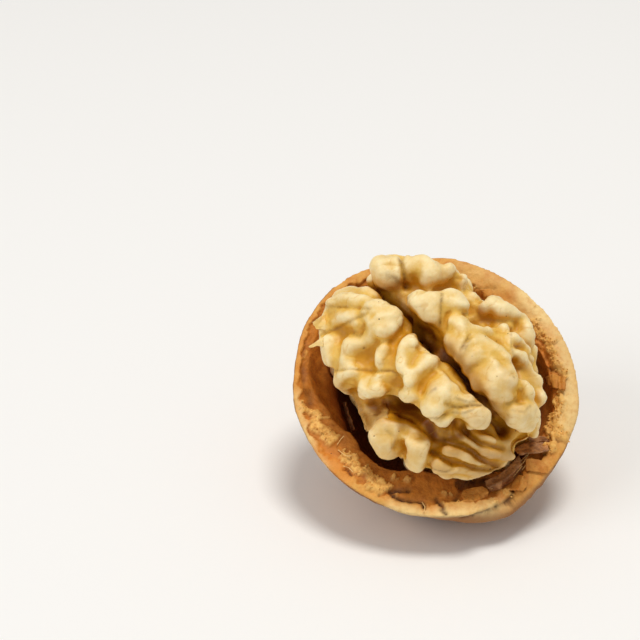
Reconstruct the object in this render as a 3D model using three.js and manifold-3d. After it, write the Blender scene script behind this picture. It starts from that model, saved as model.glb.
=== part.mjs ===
// A walnut with one half of its shell lifted away: the other half lies tilted on its back,
// with the whole kernel still in it. Millimetres, +Z up, the origin on the surface that the
// nut lies on, under the middle of its box.
//
// The nut's own frame has its middle in the plane of the seam where the two halves met:
// +X runs along the nut to its stem end, +Y across it and +Z out of the open side.

import * as THREE from 'three';
import { ImprovedNoise } from 'three/addons/math/ImprovedNoise.js';
import { mergeVertices } from 'three/addons/utils/BufferGeometryUtils.js';
import Module from 'manifold-3d';

// Driving dimensions of the shell
const NUT_LENGTH = 39;
const NUT_WIDTH = 36.9;
const HALF_DEPTH = 17;
const WALL = 1.7;
const KEEL = 0.9;               // the seam's edge stands this far out of the shell
const KEEL_SPAN = 12;           // degrees below the seam over which the keel fades out
const FURROW_DEPTH = 0.8;       // the furrows that run along the outside
const FURROW_WIDTH = 0.14;
const FURROW_GRAIN = { along: 0.07, across: 0.21, offset: 7.3 };
const SWELL = 0.35;             // broad unevenness of the outside
const SWELL_GRAIN = { along: 0.12, across: 0.16, offset: 31.7 };
const LIP_SPAN = 20;            // degrees below the rim over which its face thins to the wall
const RIM_ROUGHNESS = 0.28;
const RIM_GRAIN = { along: 0.55, across: 0.55, offset: 3.1 };
const CHIP_INSET = 0.5;         // how far a chipped edge draws in, as a share of the chip's depth
const FLOOR_THICKENING = 0.7;   // extra wall inside, over the flat spot
const FLOOR_SPREAD = 24;        // degrees round the flat spot over which that fades out
const FLAT_DEPTH = 0.7;         // what the flat spot takes off the outside

// Driving dimensions of the kernel
const KERNEL_MIDDLE = new THREE.Vector3(-1.3, 0.4, 0);
const KERNEL_CORE = new THREE.Vector3(14.4, 10.9, 10.4);
const KERNEL_BELLY = new THREE.Vector3(14.2, 10, 14.6);
const CORE_SQUARENESS = 2.4;
const FOLD_SINK = 0.65;         // the share of a fold's radius that its middle lies below its crest
const FOLD_BLEND = 0.6;
const KERNEL_CLEARANCE = 0.5;
const WRINKLE = 0.16;
const WRINKLE_GRAIN = { along: 0.5, across: 0.5, offset: 11.9 };

// How the nut lies: turned about its open side's axis, rolled, then tilted to the front, in degrees
const SPIN = -48;
const ROLL = 4.5;
const TILT = 31;

// Fineness of the two meshes
const SHELL_SEGMENTS = 100;
const OUTER_ROWS = 22;
const RIM_ROWS = 5;
const INNER_ROWS = 9;
const KERNEL_MERIDIANS = 74;
const KERNEL_ROWS = 60;
const ROW_CROWDING = 1.3;       // above 1, the outer rows crowd towards the rim
const FRONT_CROWDING = 0.3;     // how far the meridians crowd towards the open side
const MERGE_DISTANCE = 0.001;

// How a corner of the kernel is drawn in along its ray: where it starts, at most how many steps it
// takes, the share of the free distance it goes each time and how close is close enough
const RAY_START = 24;
const RAY_STEPS = 90;
const RAY_STRIDE = 0.8;
const RAY_TOLERANCE = 0.005;

// The seam's face round the rim. angle is from the stem end in degrees, width is that of the face,
// dip is how far its inner edge lies below its outer one, and chip is what has broken off the edge.
const RIM_STATIONS = [
  { angle: 2, width: 4.2, dip: 1.6, chip: 1.8 },
  { angle: 13, width: 3.6, dip: 1.5, chip: 1.2 },
  { angle: 24, width: 3.4, dip: 1.4, chip: 0.9 },
  { angle: 40, width: 3.3, dip: 1.2, chip: 0 },
  { angle: 90, width: 3.9, dip: 1.3, chip: -0.1 },
  { angle: 130, width: 2.8, dip: 0.9, chip: 0 },
  { angle: 158, width: 2.4, dip: 0.8, chip: 0.5 },
  { angle: 180, width: 2.2, dip: 0.7, chip: 0.1 },
  { angle: 225, width: 2.0, dip: 0.6, chip: 0 },
  { angle: 250, width: 2.8, dip: 0.8, chip: 0.2 },
  { angle: 275, width: 4.6, dip: 1.4, chip: 0 },
  { angle: 305, width: 5.0, dip: 1.7, chip: 0 },
  { angle: 334, width: 4.8, dip: 1.9, chip: -0.2 },
  { angle: 350, width: 4.6, dip: 1.6, chip: 2.3 },
];

// How the seam's face falls from its outer edge (0) to its inner edge (1): a nearly level band, a small
// step down where the tissue has torn, then a slope into the nut
const RIM_FALL = [
  { part: 0.1, from: 0, to: 0.3 },
  { part: 0.4, from: 0.35, to: 0.6 },
  { part: 0.5, from: 0.5, to: 1 },
];

// The folds of the kernel: crest lines in the nut's frame, each with the fold's radius.
const FOLDS = [
  // The half of the upper seed leaf on the -Y side of the groove, from the tip to the stem end
  { radius: 1.9, crest: [[-15.5, -6.1, 5.7], [-13.6, -5.3, 8.8], [-11.2, -4.5, 10.6], [-8.4, -3.6, 11.8]] },
  { radius: 1.8, crest: [[-14, -8, 5.9], [-11.1, -6.9, 9.3]] },
  { radius: 2.5, crest: [[-7.2, -5.4, 11.6], [-6.4, -3.6, 12.2]] },
  { radius: 2.0, crest: [[-11.9, -9.7, 5.9], [-10.1, -10.7, 5.4]] },
  { radius: 1.6, crest: [[-8.5, -9.3, 8.9], [-7, -10.6, 7.7]] },
  { radius: 1.0, crest: [[-7.3, -7.7, 10.3], [-4.5, -7.5, 10.8]] },
  { radius: 1.2, crest: [[-4.2, -6.1, 11.6], [-3.5, -7.7, 10.9]] },
  { radius: 1.7, crest: [[-5.5, -10.8, 7.8], [-6.3, -11.9, 4.7], [-5.3, -12.3, 3.4]] },
  { radius: 1.5, crest: [[-3, -9.4, 9.8], [-2.1, -10.9, 7.9], [-1.9, -11.6, 6.5]] },
  { radius: 1.2, crest: [[-1.7, -9.1, 9.8], [-0.4, -9.7, 9]] },
  { radius: 1.6, crest: [[-3.4, -4, 12.2], [-1.7, -6.3, 11.8], [1, -7, 11.2]] },
  { radius: 1.3, crest: [[-2.9, -3.1, 12.3], [-0.5, -2.7, 12.4]] },
  { radius: 1.1, crest: [[0.7, -6.7, 11.4], [0.9, -4.4, 12.1], [1.5, -2.9, 12.4]] },
  { radius: 1.5, crest: [[1.5, -2.6, 12.4], [3.5, -1.9, 12.3], [6.2, -1.6, 11.9], [8.7, -1.3, 11]] },
  { radius: 1.5, crest: [[8.7, -1.3, 11], [10.6, -1.3, 10]] },
  { radius: 2.2, crest: [[5.7, -4.5, 11.7], [6.8, -7, 10.3]] },
  { radius: 1.5, crest: [[2, -8.4, 10.3], [3.3, -8, 10.3]] },
  { radius: 1.9, crest: [[8, -3.7, 11.1], [10.7, -2.7, 9.8]] },
  { radius: 1.2, crest: [[4, -2.7, 12], [6.9, -2.7, 11.5]] },
  { radius: 1.2, crest: [[2.5, -5.5, 11.6], [4.2, -5.4, 11.6]] },
  // The other half of the upper seed leaf, on the +Y side of the groove
  { radius: 2.3, crest: [[-13.8, -0.4, 9.5], [-14.3, 2, 9.2], [-13.2, 2.9, 10]] },
  { radius: 2.1, crest: [[-11.5, 4.2, 10.8], [-9.1, 5.2, 11.5]] },
  { radius: 1.6, crest: [[-8.6, 6.4, 11.1], [-7.3, 8, 10.7]] },
  { radius: 1.4, crest: [[-7.4, 0.8, 12.1], [-5.2, 0.5, 12.3]] },
  { radius: 2.3, crest: [[-5, 1.9, 12.6], [-3.4, 3.8, 12.5]] },
  { radius: 1.4, crest: [[-3.7, 1, 12.5], [-1.4, 0.8, 12.4]] },
  { radius: 1.9, crest: [[-0.9, 3.2, 12.6], [0.2, 1.6, 12.6], [1.1, 0.8, 12.4]] },
  { radius: 1.1, crest: [[-1, 3.6, 12.4], [0.9, 4.2, 12.2], [2.2, 5.5, 12], [2.9, 7.7, 11]] },
  { radius: 1.3, crest: [[-1, 9.8, 10.2], [0.7, 10.7, 9.3], [1.8, 12, 7], [3.9, 11.2, 7.8]] },
  { radius: 1.0, crest: [[5.2, 7.7, 10.7], [6.5, 9.5, 9]] },
  { radius: 1.2, crest: [[7, 6.6, 10.6], [9.1, 7.6, 9.2], [11, 7.5, 7.6], [12.4, 6.5, 6.6]] },
  { radius: 2.1, crest: [[2.2, 3.1, 12.5], [4.4, 3.2, 12.2], [6.5, 3.5, 11.7]] },
  { radius: 1.4, crest: [[3.4, 7.3, 11], [5.6, 5.8, 11.2]] },
  { radius: 2.3, crest: [[7.6, 2.9, 11.4], [9.3, 2.4, 10.7], [10.2, 1.8, 10.1]] },
  { radius: 1.7, crest: [[10.4, 4.7, 9.6], [11.9, 4.2, 8.5]] },
  { radius: 2.1, crest: [[12.4, 2.5, 8.4], [13.1, 1.4, 7.5]] },
  { radius: 1.7, crest: [[13.1, 4.1, 7.1], [14, 3.8, 5.5]] },
  { radius: 1.4, crest: [[14, 1.7, 5.9], [14.6, 1.9, 4.4]] },
  { radius: 0.9, crest: [[14.5, 4.2, 3.6], [14.7, 4.6, 1.9]] },
  // The edge of the lower seed leaf, which shows below the upper one
  { radius: 1.4, crest: [[11.2, -2.7, 7.5], [12.7, -1.4, 6.2], [13.9, -0.4, 4.3]] },
  { radius: 1.2, crest: [[10.3, -4.8, 7.7], [12.8, -3, 5.7], [14.4, 0, 2.4]] },
  { radius: 1.2, crest: [[10.4, -7.1, 6.7], [13.1, -4.9, 4.7], [14.7, -0.6, 1.4]] },
  { radius: 1.2, crest: [[10.2, -9, 5], [12.5, -7.1, 4], [14.7, -2.7, 1.4]] },
  { radius: 1.2, crest: [[10.2, -9.9, 3.4], [11.8, -8.6, 2.8], [13.7, -6.1, 2.9]] },
  { radius: 2.5, crest: [[3.3, -12.1, 4.2], [4.4, -12.1, 2.9]] },
  { radius: 1.9, crest: [[7.5, -10.3, 6.4], [7.9, -11, 4]] },
  { radius: 1.1, crest: [[1.1, -10.8, 3.8], [3.5, -9.7, 5.5], [5.8, -8.7, 5.9], [7.3, -8.3, 5.6]] },
  { radius: 1.1, crest: [[-2.6, -11.1, 2.4], [-0.5, -11.6, -0.9]] },
];

// Folds that go down the kernel's flank all round, except where those above take their place
const FLANK_FOLDS = 21;
const FLANK_RADIUS = 1.8;
const FLANK_GAP = [236, 352];
const FLANK_REACH = new THREE.Vector2(14, 11);
const FLANK_WAVE = 1.6;         // how far the flank folds wander to the sides
const WAVE_GRAINS = [53.1, 71.7, 97.3].map((offset) => ({ along: 0.2, across: 0.2, offset }));
const FLANK_SWAY = { most: 5, rhythm: 2.4 };    // uneven spacing, in degrees
const FLANK_LEAN = { most: 9, rhythm: 1.7 };    // how far the lower ends lean to one side, in degrees
const FAR_SIDE = [60, 110];     // the folds on the far side, past these angles, start higher up

// The places each flank fold runs through: the share of FLANK_REACH and the height, for the near and the
// far side, and whether the place leans
const FLANK_COURSE = [
  { near: [0.86, 5.5], far: [0.7, 8.7], leans: false },
  { near: [0.93, 5], far: [0.9, 5], leans: false },
  { near: [1, 1], far: [1, 1], leans: false },
  { near: [0.95, -4], far: [0.95, -4], leans: true },
  { near: [0.8, -8], far: [0.8, -8], leans: true },
];

// Cuts into the kernel, each along a line, with half its width and its depth: the deep groove between
// the halves, the cleft between the two seed leaves, then single hollows
const CUTS = [
  {
    line: [
      [-16.8, 0.2, 3.5], [-13.5, -0.5, 6.9], [-7.5, -0.9, 8.8], [-1.1, -1.2, 9],
      [4.1, -0.7, 8.6], [9.2, -0.1, 6.7], [12, 0.5, 4.6],
    ],
    width: 0.9,
    depth: 4.6,
  },
  {
    line: [
      [-4.1, -11.2, 2.6], [-1.3, -10.3, 4.5], [1.2, -8.8, 6.6], [4.4, -7.4, 7.2],
      [6.6, -7.6, 6.2], [8.6, -5.4, 6.9], [11.3, -0.6, 6.2],
    ],
    width: 0.8,
    depth: 2.4,
  },
  { line: [[2.2, -8.6, 6.6], [4, -8, 6.6]], width: 1.6, depth: 2.2 },
  { line: [[-5.4, -9.3, 9.5], [-4.4, -8.9, 9.9]], width: 1.2, depth: 1.2 },
  { line: [[-9.7, 2, 11.6], [-9.2, 2.4, 11.9]], width: 1, depth: 1.2 },
  { line: [[-6.4, 5.9, 12], [-5.6, 6.7, 11.8]], width: 1.2, depth: 1.6 },
  { line: [[0.2, 5.6, 12], [1, 6.6, 11.6]], width: 1.5, depth: 2.4 },
  { line: [[-1.2, -3.5, 12.4], [-0.6, -3.2, 12.5]], width: 0.7, depth: 0.8 },
  { line: [[7.6, 5.9, 10.6], [9.6, 6.1, 9.6]], width: 0.9, depth: 1.4 },
  // Creases between neighbouring folds on the open side
  { line: [[-5.2, -2.6, 12.2], [-4.1, -4.8, 12], [-2.6, -6.9, 11.4]], width: 0.65, depth: 1.7 },
  { line: [[-2.6, -6.9, 11.4], [-0.9, -8.1, 10.8], [0.9, -8.9, 10]], width: 0.65, depth: 1.5 },
  { line: [[-12.3, -9, 6.7], [-10.3, -8.1, 8.8], [-6.9, -7, 10.9]], width: 0.6, depth: 1 },
  { line: [[-10.3, -9, 7.5], [-8.7, -10.4, 6.9]], width: 0.6, depth: 0.8 },
  { line: [[-12.9, 3.6, 10], [-10.8, 1.6, 11.4], [-10, 0.6, 11.7]], width: 0.6, depth: 1.1 },
  { line: [[-2.6, 2.8, 12.6], [-1.7, 0.9, 12.6], [0, -0.1, 12.5]], width: 0.6, depth: 1.2 },
  { line: [[1.7, 0.6, 12.6], [1.3, 2.5, 12.6]], width: 0.5, depth: 0.9 },
  { line: [[6.8, -5.2, 11], [8, -4, 11], [9.6, -2, 10.6]], width: 0.5, depth: 0.9 },
  { line: [[9.9, 3.6, 10], [11, 3, 9.6], [10.8, 1, 9.8]], width: 0.6, depth: 0.9 },
  // Clefts down the far flank
  { line: [[-5.5, 11, 7.5], [-7, 12.4, 3], [-6, 12.6, -2]], width: 0.7, depth: 1.6 },
  { line: [[-15, 4, 7], [-16, 5, 2.5], [-15.5, 5.5, -2]], width: 0.7, depth: 1.7 },
  { line: [[-13, 8.4, 3.6], [-9.4, 10.8, 5], [-4, 12.2, 3]], width: 0.6, depth: 1.4 },
  { line: [[2.4, 12, 4.4], [1.4, 12.6, 1], [2.6, 12.4, -3]], width: 0.7, depth: 1.5 },
  { line: [[-14.6, -8, 3], [-14.2, -8.4, 0], [-12.8, -9, -4]], width: 0.7, depth: 1.5 },
];

const noise = new ImprovedNoise();
const { degToRad, lerp, smoothstep } = THREE.MathUtils;

function noiseAt(point, grain) {
  return noise.noise(
    point.x * grain.along + grain.offset,
    point.y * grain.across + grain.offset,
    point.z * grain.across + grain.offset,
  );
}

// Distance from the middle of an ellipsoid to its surface, along a unit direction
function ellipsoidReach(direction, axes) {
  return 1 / direction.clone().divide(axes).length();
}

// The rim's width, dip and chip at an angle, eased from one station to the next
function rimAt(angle) {
  const turn = THREE.MathUtils.euclideanModulo(angle, 360);
  let after = RIM_STATIONS.findIndex((station) => station.angle > turn);
  if (after < 0) after = 0;
  const before = (after + RIM_STATIONS.length - 1) % RIM_STATIONS.length;
  const low = RIM_STATIONS[before];
  const high = RIM_STATIONS[after];
  const span = THREE.MathUtils.euclideanModulo(high.angle - low.angle, 360);
  const ease = smoothstep(THREE.MathUtils.euclideanModulo(turn - low.angle, 360) / span, 0, 1);
  return {
    width: lerp(low.width, high.width, ease),
    dip: lerp(low.dip, high.dip, ease),
    chip: lerp(low.chip, high.chip, ease),
  };
}

// A unit direction in the nut's frame, from the angle round the rim and the angle below the seam
function directionOf(angle, below) {
  const around = degToRad(angle);
  const down = degToRad(below);
  return new THREE.Vector3(
    Math.cos(down) * Math.cos(around),
    Math.cos(down) * Math.sin(around),
    -Math.sin(down),
  );
}

const OUTER_AXES = new THREE.Vector3(NUT_LENGTH / 2 - KEEL, NUT_WIDTH / 2 - KEEL, HALF_DEPTH);
const INNER_AXES = OUTER_AXES.clone().subScalar(WALL);

const POSE = new THREE.Matrix4().makeRotationX(degToRad(TILT))
  .multiply(new THREE.Matrix4().makeRotationY(degToRad(ROLL)))
  .multiply(new THREE.Matrix4().makeRotationZ(degToRad(SPIN)));
const DOWN = new THREE.Vector3(0, 0, -1).transformDirection(POSE.clone().invert());

// The outside of the shell: an ellipsoid with a keel along the seam, furrows and broad swells
function outerPoint(angle, below) {
  const direction = directionOf(angle, below);
  const reach = ellipsoidReach(direction, OUTER_AXES);
  const point = direction.clone().multiplyScalar(reach);
  const keel = KEEL * (1 - smoothstep(below, 0, KEEL_SPAN));
  const onBody = smoothstep(below, KEEL_SPAN / 2, KEEL_SPAN * 2);
  const line = noiseAt(point, FURROW_GRAIN);
  const furrow = FURROW_DEPTH * Math.exp(-((line / FURROW_WIDTH) ** 2));
  const swell = SWELL * noiseAt(point, SWELL_GRAIN);
  return direction.multiplyScalar(reach + keel + onBody * (swell - furrow));
}

// The face along the seam, from its outer edge (0) to its inner edge (1)
function rimPoint(angle, share) {
  const rim = rimAt(angle);
  const edge = outerPoint(angle, 0);
  const radius = Math.hypot(edge.x, edge.y);
  const fall = RIM_FALL.reduce((sum, { part, from, to }) => sum + part * smoothstep(share, from, to), 0);
  const reach = radius - rim.chip * CHIP_INSET - rim.width * share;
  const point = directionOf(angle, 0).multiplyScalar(reach);
  point.z = -rim.chip - rim.dip * fall;
  point.z += RIM_ROUGHNESS * noiseAt(point, RIM_GRAIN) * lerp(0.3, 1.3, share);
  return point;
}

// How far the hollow of the shell reaches along a direction below the seam
function hollowReach(angle, below) {
  const direction = directionOf(angle, below);
  const overFlat = Math.exp(-((direction.angleTo(DOWN) / degToRad(FLOOR_SPREAD)) ** 2));
  const reach = ellipsoidReach(direction, INNER_AXES) - FLOOR_THICKENING * overFlat;
  const edge = rimPoint(angle, 1);
  const edgeBelow = THREE.MathUtils.radToDeg(Math.asin(-edge.z / edge.length()));
  const lip = 1 - smoothstep(below, edgeBelow, edgeBelow + LIP_SPAN);
  return lerp(reach, edge.length(), lip);
}

function innerPoint(angle, share) {
  const edge = rimPoint(angle, 1);
  const edgeBelow = THREE.MathUtils.radToDeg(Math.asin(-edge.z / edge.length()));
  const below = lerp(edgeBelow, 90, share);
  return directionOf(angle, below).multiplyScalar(hollowReach(angle, below));
}

// One closed body from a three.js geometry: shared corners merged, collapsed triangles left out
function closedBody(geometry) {
  geometry.deleteAttribute('normal');
  geometry.deleteAttribute('uv');
  const merged = mergeVertices(geometry, MERGE_DISTANCE);
  const corners = merged.index.array;
  const kept = [];
  for (let i = 0; i < corners.length; i += 3) {
    const [a, b, c] = corners.slice(i, i + 3);
    if (a !== b && b !== c && c !== a) kept.push(a, b, c);
  }
  merged.setIndex(kept);
  return merged;
}

// The half shell: a lathe round the axis of the open side, from the outer pole over the rim to the
// inner pole, with every corner moved to its place on the shell
function shellGeometry() {
  const rows = OUTER_ROWS + RIM_ROWS + INNER_ROWS + 1;
  const profile = [];
  for (let row = 0; row < rows; row += 1) {
    profile.push(new THREE.Vector2(Math.sin((row / (rows - 1)) * Math.PI), row));
  }
  const geometry = new THREE.LatheGeometry(profile, SHELL_SEGMENTS);
  const position = geometry.attributes.position;
  for (let segment = 0; segment <= SHELL_SEGMENTS; segment += 1) {
    const angle = (segment % SHELL_SEGMENTS) * (360 / SHELL_SEGMENTS);
    for (let row = 0; row < rows; row += 1) {
      const point = shellPoint(angle, row);
      position.setXYZ(segment * rows + row, point.x, point.y, point.z);
    }
  }
  return closedBody(geometry);
}

function shellPoint(angle, row) {
  if (row < OUTER_ROWS) {
    const rim = rimPoint(angle, 0);
    const edgeBelow = THREE.MathUtils.radToDeg(Math.asin(-rim.z / rim.length()));
    const share = 1 - (1 - row / OUTER_ROWS) ** ROW_CROWDING;
    return outerPoint(row === 0 ? 0 : angle, lerp(90, edgeBelow, share));
  }
  if (row <= OUTER_ROWS + RIM_ROWS) return rimPoint(angle, (row - OUTER_ROWS) / RIM_ROWS);
  const share = (row - OUTER_ROWS - RIM_ROWS) / INNER_ROWS;
  return innerPoint(share === 1 ? 0 : angle, share);
}

// Distance from a point to a line of straight stretches
function distanceToLine(point, line) {
  const nearest = new THREE.Vector3();
  let least = Infinity;
  for (const stretch of line) {
    stretch.closestPointToPoint(point, true, nearest);
    least = Math.min(least, nearest.distanceTo(point));
  }
  return least;
}

function lineThrough(points) {
  const corners = points.map((corner) => new THREE.Vector3(...corner));
  return corners.slice(1).map((corner, i) => new THREE.Line3(corners[i], corner));
}

function flankFolds() {
  const folds = [];
  for (let i = 0; i < FLANK_FOLDS; i += 1) {
    const angle = (i * 360) / FLANK_FOLDS + FLANK_SWAY.most * Math.sin(i * FLANK_SWAY.rhythm);
    if (angle > FLANK_GAP[0] && angle < FLANK_GAP[1]) continue;
    const lean = FLANK_LEAN.most * Math.sin(i * FLANK_LEAN.rhythm);
    const atFarSide = smoothstep(angle, ...FAR_SIDE);
    const middles = FLANK_COURSE.map((place) => {
      const share = lerp(place.near[0], place.far[0], atFarSide);
      const out = directionOf(angle + (place.leans ? lean : 0), 0).multiplyScalar(share);
      return [
        KERNEL_MIDDLE.x + FLANK_REACH.x * out.x,
        KERNEL_MIDDLE.y + FLANK_REACH.y * out.y,
        lerp(place.near[1], place.far[1], atFarSide),
      ];
    });
    folds.push({ radius: FLANK_RADIUS, line: lineThrough(middles), wavy: true });
  }
  return folds;
}

function crestFolds() {
  return FOLDS.map((fold) => {
    const sunk = fold.crest.map((corner) => {
      const out = new THREE.Vector3(...corner).sub(KERNEL_MIDDLE);
      return out.setLength(out.length() - FOLD_SINK * fold.radius).add(KERNEL_MIDDLE).toArray();
    });
    return { radius: fold.radius, line: lineThrough(sunk) };
  });
}

function smoothMin(a, b, blend) {
  const h = Math.max(blend - Math.abs(a - b), 0) / blend;
  return Math.min(a, b) - (h * h * blend) / 4;
}

// Signed distance to a body between an ellipsoid (power 2) and a box (a high power), near enough
function roundedDistance(point, axes, power) {
  const shares = [point.x / axes.x, point.y / axes.y, point.z / axes.z].map(Math.abs);
  const size = shares.reduce((sum, share) => sum + share ** power, 0) ** (1 / power);
  const slopes = shares.map((share, i) => (share / size) ** (power - 1) / axes.getComponent(i));
  return (size - 1) / Math.hypot(...slopes);
}

// A point shifted by noise, so that straight folds come out wavy
function wander(point) {
  const shift = WAVE_GRAINS.map((grain) => FLANK_WAVE * noiseAt(point, grain));
  return point.clone().add(new THREE.Vector3(...shift));
}

// Signed distance to the kernel: the body of the seed with its folds melted on
function kernelDistance(point, folds) {
  const fromMiddle = point.clone().sub(KERNEL_MIDDLE);
  const body = fromMiddle.z > 0 ? KERNEL_CORE : KERNEL_BELLY;
  let distance = roundedDistance(fromMiddle, body, CORE_SQUARENESS);
  const wavy = wander(point);
  for (const fold of folds) {
    const from = fold.wavy ? wavy : point;
    distance = smoothMin(distance, distanceToLine(from, fold.line) - fold.radius, FOLD_BLEND);
  }
  return distance;
}

// How deep the cuts go along a unit direction from the kernel's middle
function cutDepth(direction, cuts) {
  let depth = 0;
  for (const cut of cuts) {
    const away = distanceToLine(direction, cut.course) / cut.width;
    depth += cut.depth * Math.exp(-(away ** 4));
  }
  return depth;
}

// A cut's line as it looks from the kernel's middle, on a sphere of radius 1
function seenFromMiddle(cut) {
  const corners = cut.line.map((corner) => new THREE.Vector3(...corner).sub(KERNEL_MIDDLE));
  const distance = corners.reduce((sum, corner) => sum + corner.length(), 0) / corners.length;
  const course = lineThrough(corners.map((corner) => corner.normalize().toArray()));
  return { course, width: cut.width / distance, depth: cut.depth };
}

// How far the outermost fold reaches along a unit direction from the kernel's middle
function rayReach(direction, folds) {
  const point = new THREE.Vector3();
  let reach = RAY_START;
  for (let step = 0; step < RAY_STEPS; step += 1) {
    point.copy(direction).multiplyScalar(reach).add(KERNEL_MIDDLE);
    const distance = kernelDistance(point, folds);
    reach -= distance * RAY_STRIDE;
    if (distance < RAY_TOLERANCE) break;
  }
  return reach;
}

// The kernel: a sphere with its poles at the nut's two ends, each corner drawn in along its own ray to
// the outermost fold, cut back at the grooves and kept clear of the shell
function kernelGeometry() {
  const folds = [...crestFolds(), ...flankFolds()];
  const cuts = CUTS.map(seenFromMiddle);
  const geometry = new THREE.SphereGeometry(1, KERNEL_MERIDIANS, KERNEL_ROWS);
  geometry.rotateZ(-Math.PI / 2);
  const position = geometry.attributes.position;
  const direction = new THREE.Vector3();
  for (let i = 0; i < position.count; i += 1) {
    direction.fromBufferAttribute(position, i).normalize();
    crowdToFront(direction);
    let reach = rayReach(direction, folds) - cutDepth(direction, cuts);
    const point = direction.clone().multiplyScalar(reach).add(KERNEL_MIDDLE);
    reach += WRINKLE * noiseAt(point, WRINKLE_GRAIN);
    point.copy(direction).multiplyScalar(reach).add(KERNEL_MIDDLE);
    keepInside(point);
    position.setXYZ(i, point.x, point.y, point.z);
  }
  return closedBody(geometry);
}

// Turns a direction about the nut's long axis, so that more of the mesh lies on the open side
function crowdToFront(direction) {
  const away = Math.hypot(direction.y, direction.z);
  const turn = Math.atan2(direction.y, direction.z);
  const crowded = turn - FRONT_CROWDING * Math.sin(turn);
  direction.y = away * Math.sin(crowded);
  direction.z = away * Math.cos(crowded);
}

function keepInside(point) {
  if (point.z > 0) return;
  const angle = THREE.MathUtils.radToDeg(Math.atan2(point.y, point.x));
  const below = THREE.MathUtils.radToDeg(Math.asin(-point.z / point.length()));
  const most = hollowReach(angle, below) - KERNEL_CLEARANCE;
  if (point.length() > most) point.setLength(most);
}

const wasm = await Module();
wasm.setup();

function solidOf(geometry) {
  return new wasm.Manifold(new wasm.Mesh({
    numProp: 3,
    vertProperties: new Float32Array(geometry.attributes.position.array),
    triVerts: new Uint32Array(geometry.index.array),
  }));
}

function geometryOf(solid) {
  const mesh = solid.getMesh();
  const geometry = new THREE.BufferGeometry();
  geometry.setAttribute('position', new THREE.BufferAttribute(mesh.vertProperties, 3));
  geometry.setIndex(new THREE.BufferAttribute(mesh.triVerts, 1));
  return geometry;
}

// The half shell as it lies, with the flat spot it rests on cut off its back
function restingShell() {
  const whole = shellGeometry().applyMatrix4(POSE);
  whole.computeBoundingBox();
  const floor = whole.boundingBox.min.z + FLAT_DEPTH;
  const block = new THREE.BoxGeometry(2 * NUT_LENGTH, 2 * NUT_LENGTH, NUT_LENGTH);
  block.translate(0, 0, floor - NUT_LENGTH / 2);
  const resting = solidOf(whole).subtract(solidOf(closedBody(block)));
  return geometryOf(resting);
}

const shell = new THREE.Mesh(
  restingShell(),
  new THREE.MeshStandardMaterial({ color: 0xb98e5c, roughness: 0.75, metalness: 0 }),
);
shell.name = 'shell';

const kernel = new THREE.Mesh(
  kernelGeometry().applyMatrix4(POSE),
  new THREE.MeshStandardMaterial({ color: 0xdcc391, roughness: 0.55, metalness: 0 }),
);
kernel.name = 'kernel';

// The nut stands on the surface, with the origin under the middle of its box
const group = new THREE.Group();
group.add(shell, kernel);
const box = new THREE.Box3().setFromObject(group);
const middle = box.getCenter(new THREE.Vector3());
shell.position.set(-middle.x, -middle.y, -box.min.z);
kernel.position.copy(shell.position);

export default group;
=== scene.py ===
# %% [markdown]
# # An opened walnut
# One half of a walnut's shell lies on its back with the whole kernel still in it. Its solids come
# ready made, at their true size, and this lesson gives them their looks. The kernel and the shell are
# each copied from their solid, turned into a fine even mesh and then modelled like clay: folds are
# raised, creases are pressed in, and strokes of the same kind leave marks that the materials read as
# colour.

# %% The frame
import math

import bpy
import numpy as np
from mathutils import Matrix, Vector, noise
from mathutils.bvhtree import BVHTree


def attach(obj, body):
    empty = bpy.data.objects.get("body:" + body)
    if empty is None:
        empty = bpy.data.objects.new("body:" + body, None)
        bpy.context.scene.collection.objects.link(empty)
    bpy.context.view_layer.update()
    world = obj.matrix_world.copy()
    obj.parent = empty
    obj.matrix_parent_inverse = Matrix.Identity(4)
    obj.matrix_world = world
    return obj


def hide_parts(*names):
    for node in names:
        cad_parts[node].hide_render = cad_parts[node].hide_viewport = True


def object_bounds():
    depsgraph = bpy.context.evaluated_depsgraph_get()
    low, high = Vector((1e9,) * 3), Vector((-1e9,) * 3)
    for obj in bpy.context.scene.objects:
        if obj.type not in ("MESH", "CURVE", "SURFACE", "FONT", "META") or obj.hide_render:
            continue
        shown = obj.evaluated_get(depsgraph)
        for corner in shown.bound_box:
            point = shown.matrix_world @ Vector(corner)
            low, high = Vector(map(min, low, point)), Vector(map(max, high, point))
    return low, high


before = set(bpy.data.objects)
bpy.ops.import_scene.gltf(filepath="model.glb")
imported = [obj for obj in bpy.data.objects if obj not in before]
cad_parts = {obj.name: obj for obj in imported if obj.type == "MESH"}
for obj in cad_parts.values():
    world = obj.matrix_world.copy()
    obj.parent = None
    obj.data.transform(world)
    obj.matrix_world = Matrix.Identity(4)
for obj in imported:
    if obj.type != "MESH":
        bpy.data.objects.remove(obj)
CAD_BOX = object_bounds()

MM = 0.001
box_sides = [round(side / MM, 1) for side in CAD_BOX[1] - CAD_BOX[0]]
print("solids:", sorted(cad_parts), "in a box of", box_sides, "mm")

# %% [markdown]
# The nut has a frame of its own, which makes places on it easy to name: x runs along the nut to its stem
# end, y across it, and z out of the open side. The plane z = 0 holds the seam where the two halves met.
# The nut lies turned, rolled and tilted, and these three turns take its frame to the world's.

# %% The nut's own frame
SPIN = -48      # degrees, counted against the clock as seen from above
ROLL = 4.5      # degrees to the right
TILT = 31       # degrees towards the viewer
NUT_MIDDLE = Vector((0, -0.77, 16.51)) * MM
TURN = (
    Matrix.Rotation(math.radians(TILT), 3, "X")
    @ Matrix.Rotation(math.radians(ROLL), 3, "Y")
    @ Matrix.Rotation(math.radians(SPIN), 3, "Z")
)


def in_nut(points):
    """World places as millimetres in the nut's frame."""
    return (points - np.array(NUT_MIDDLE)) @ np.array(TURN) / MM


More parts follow.
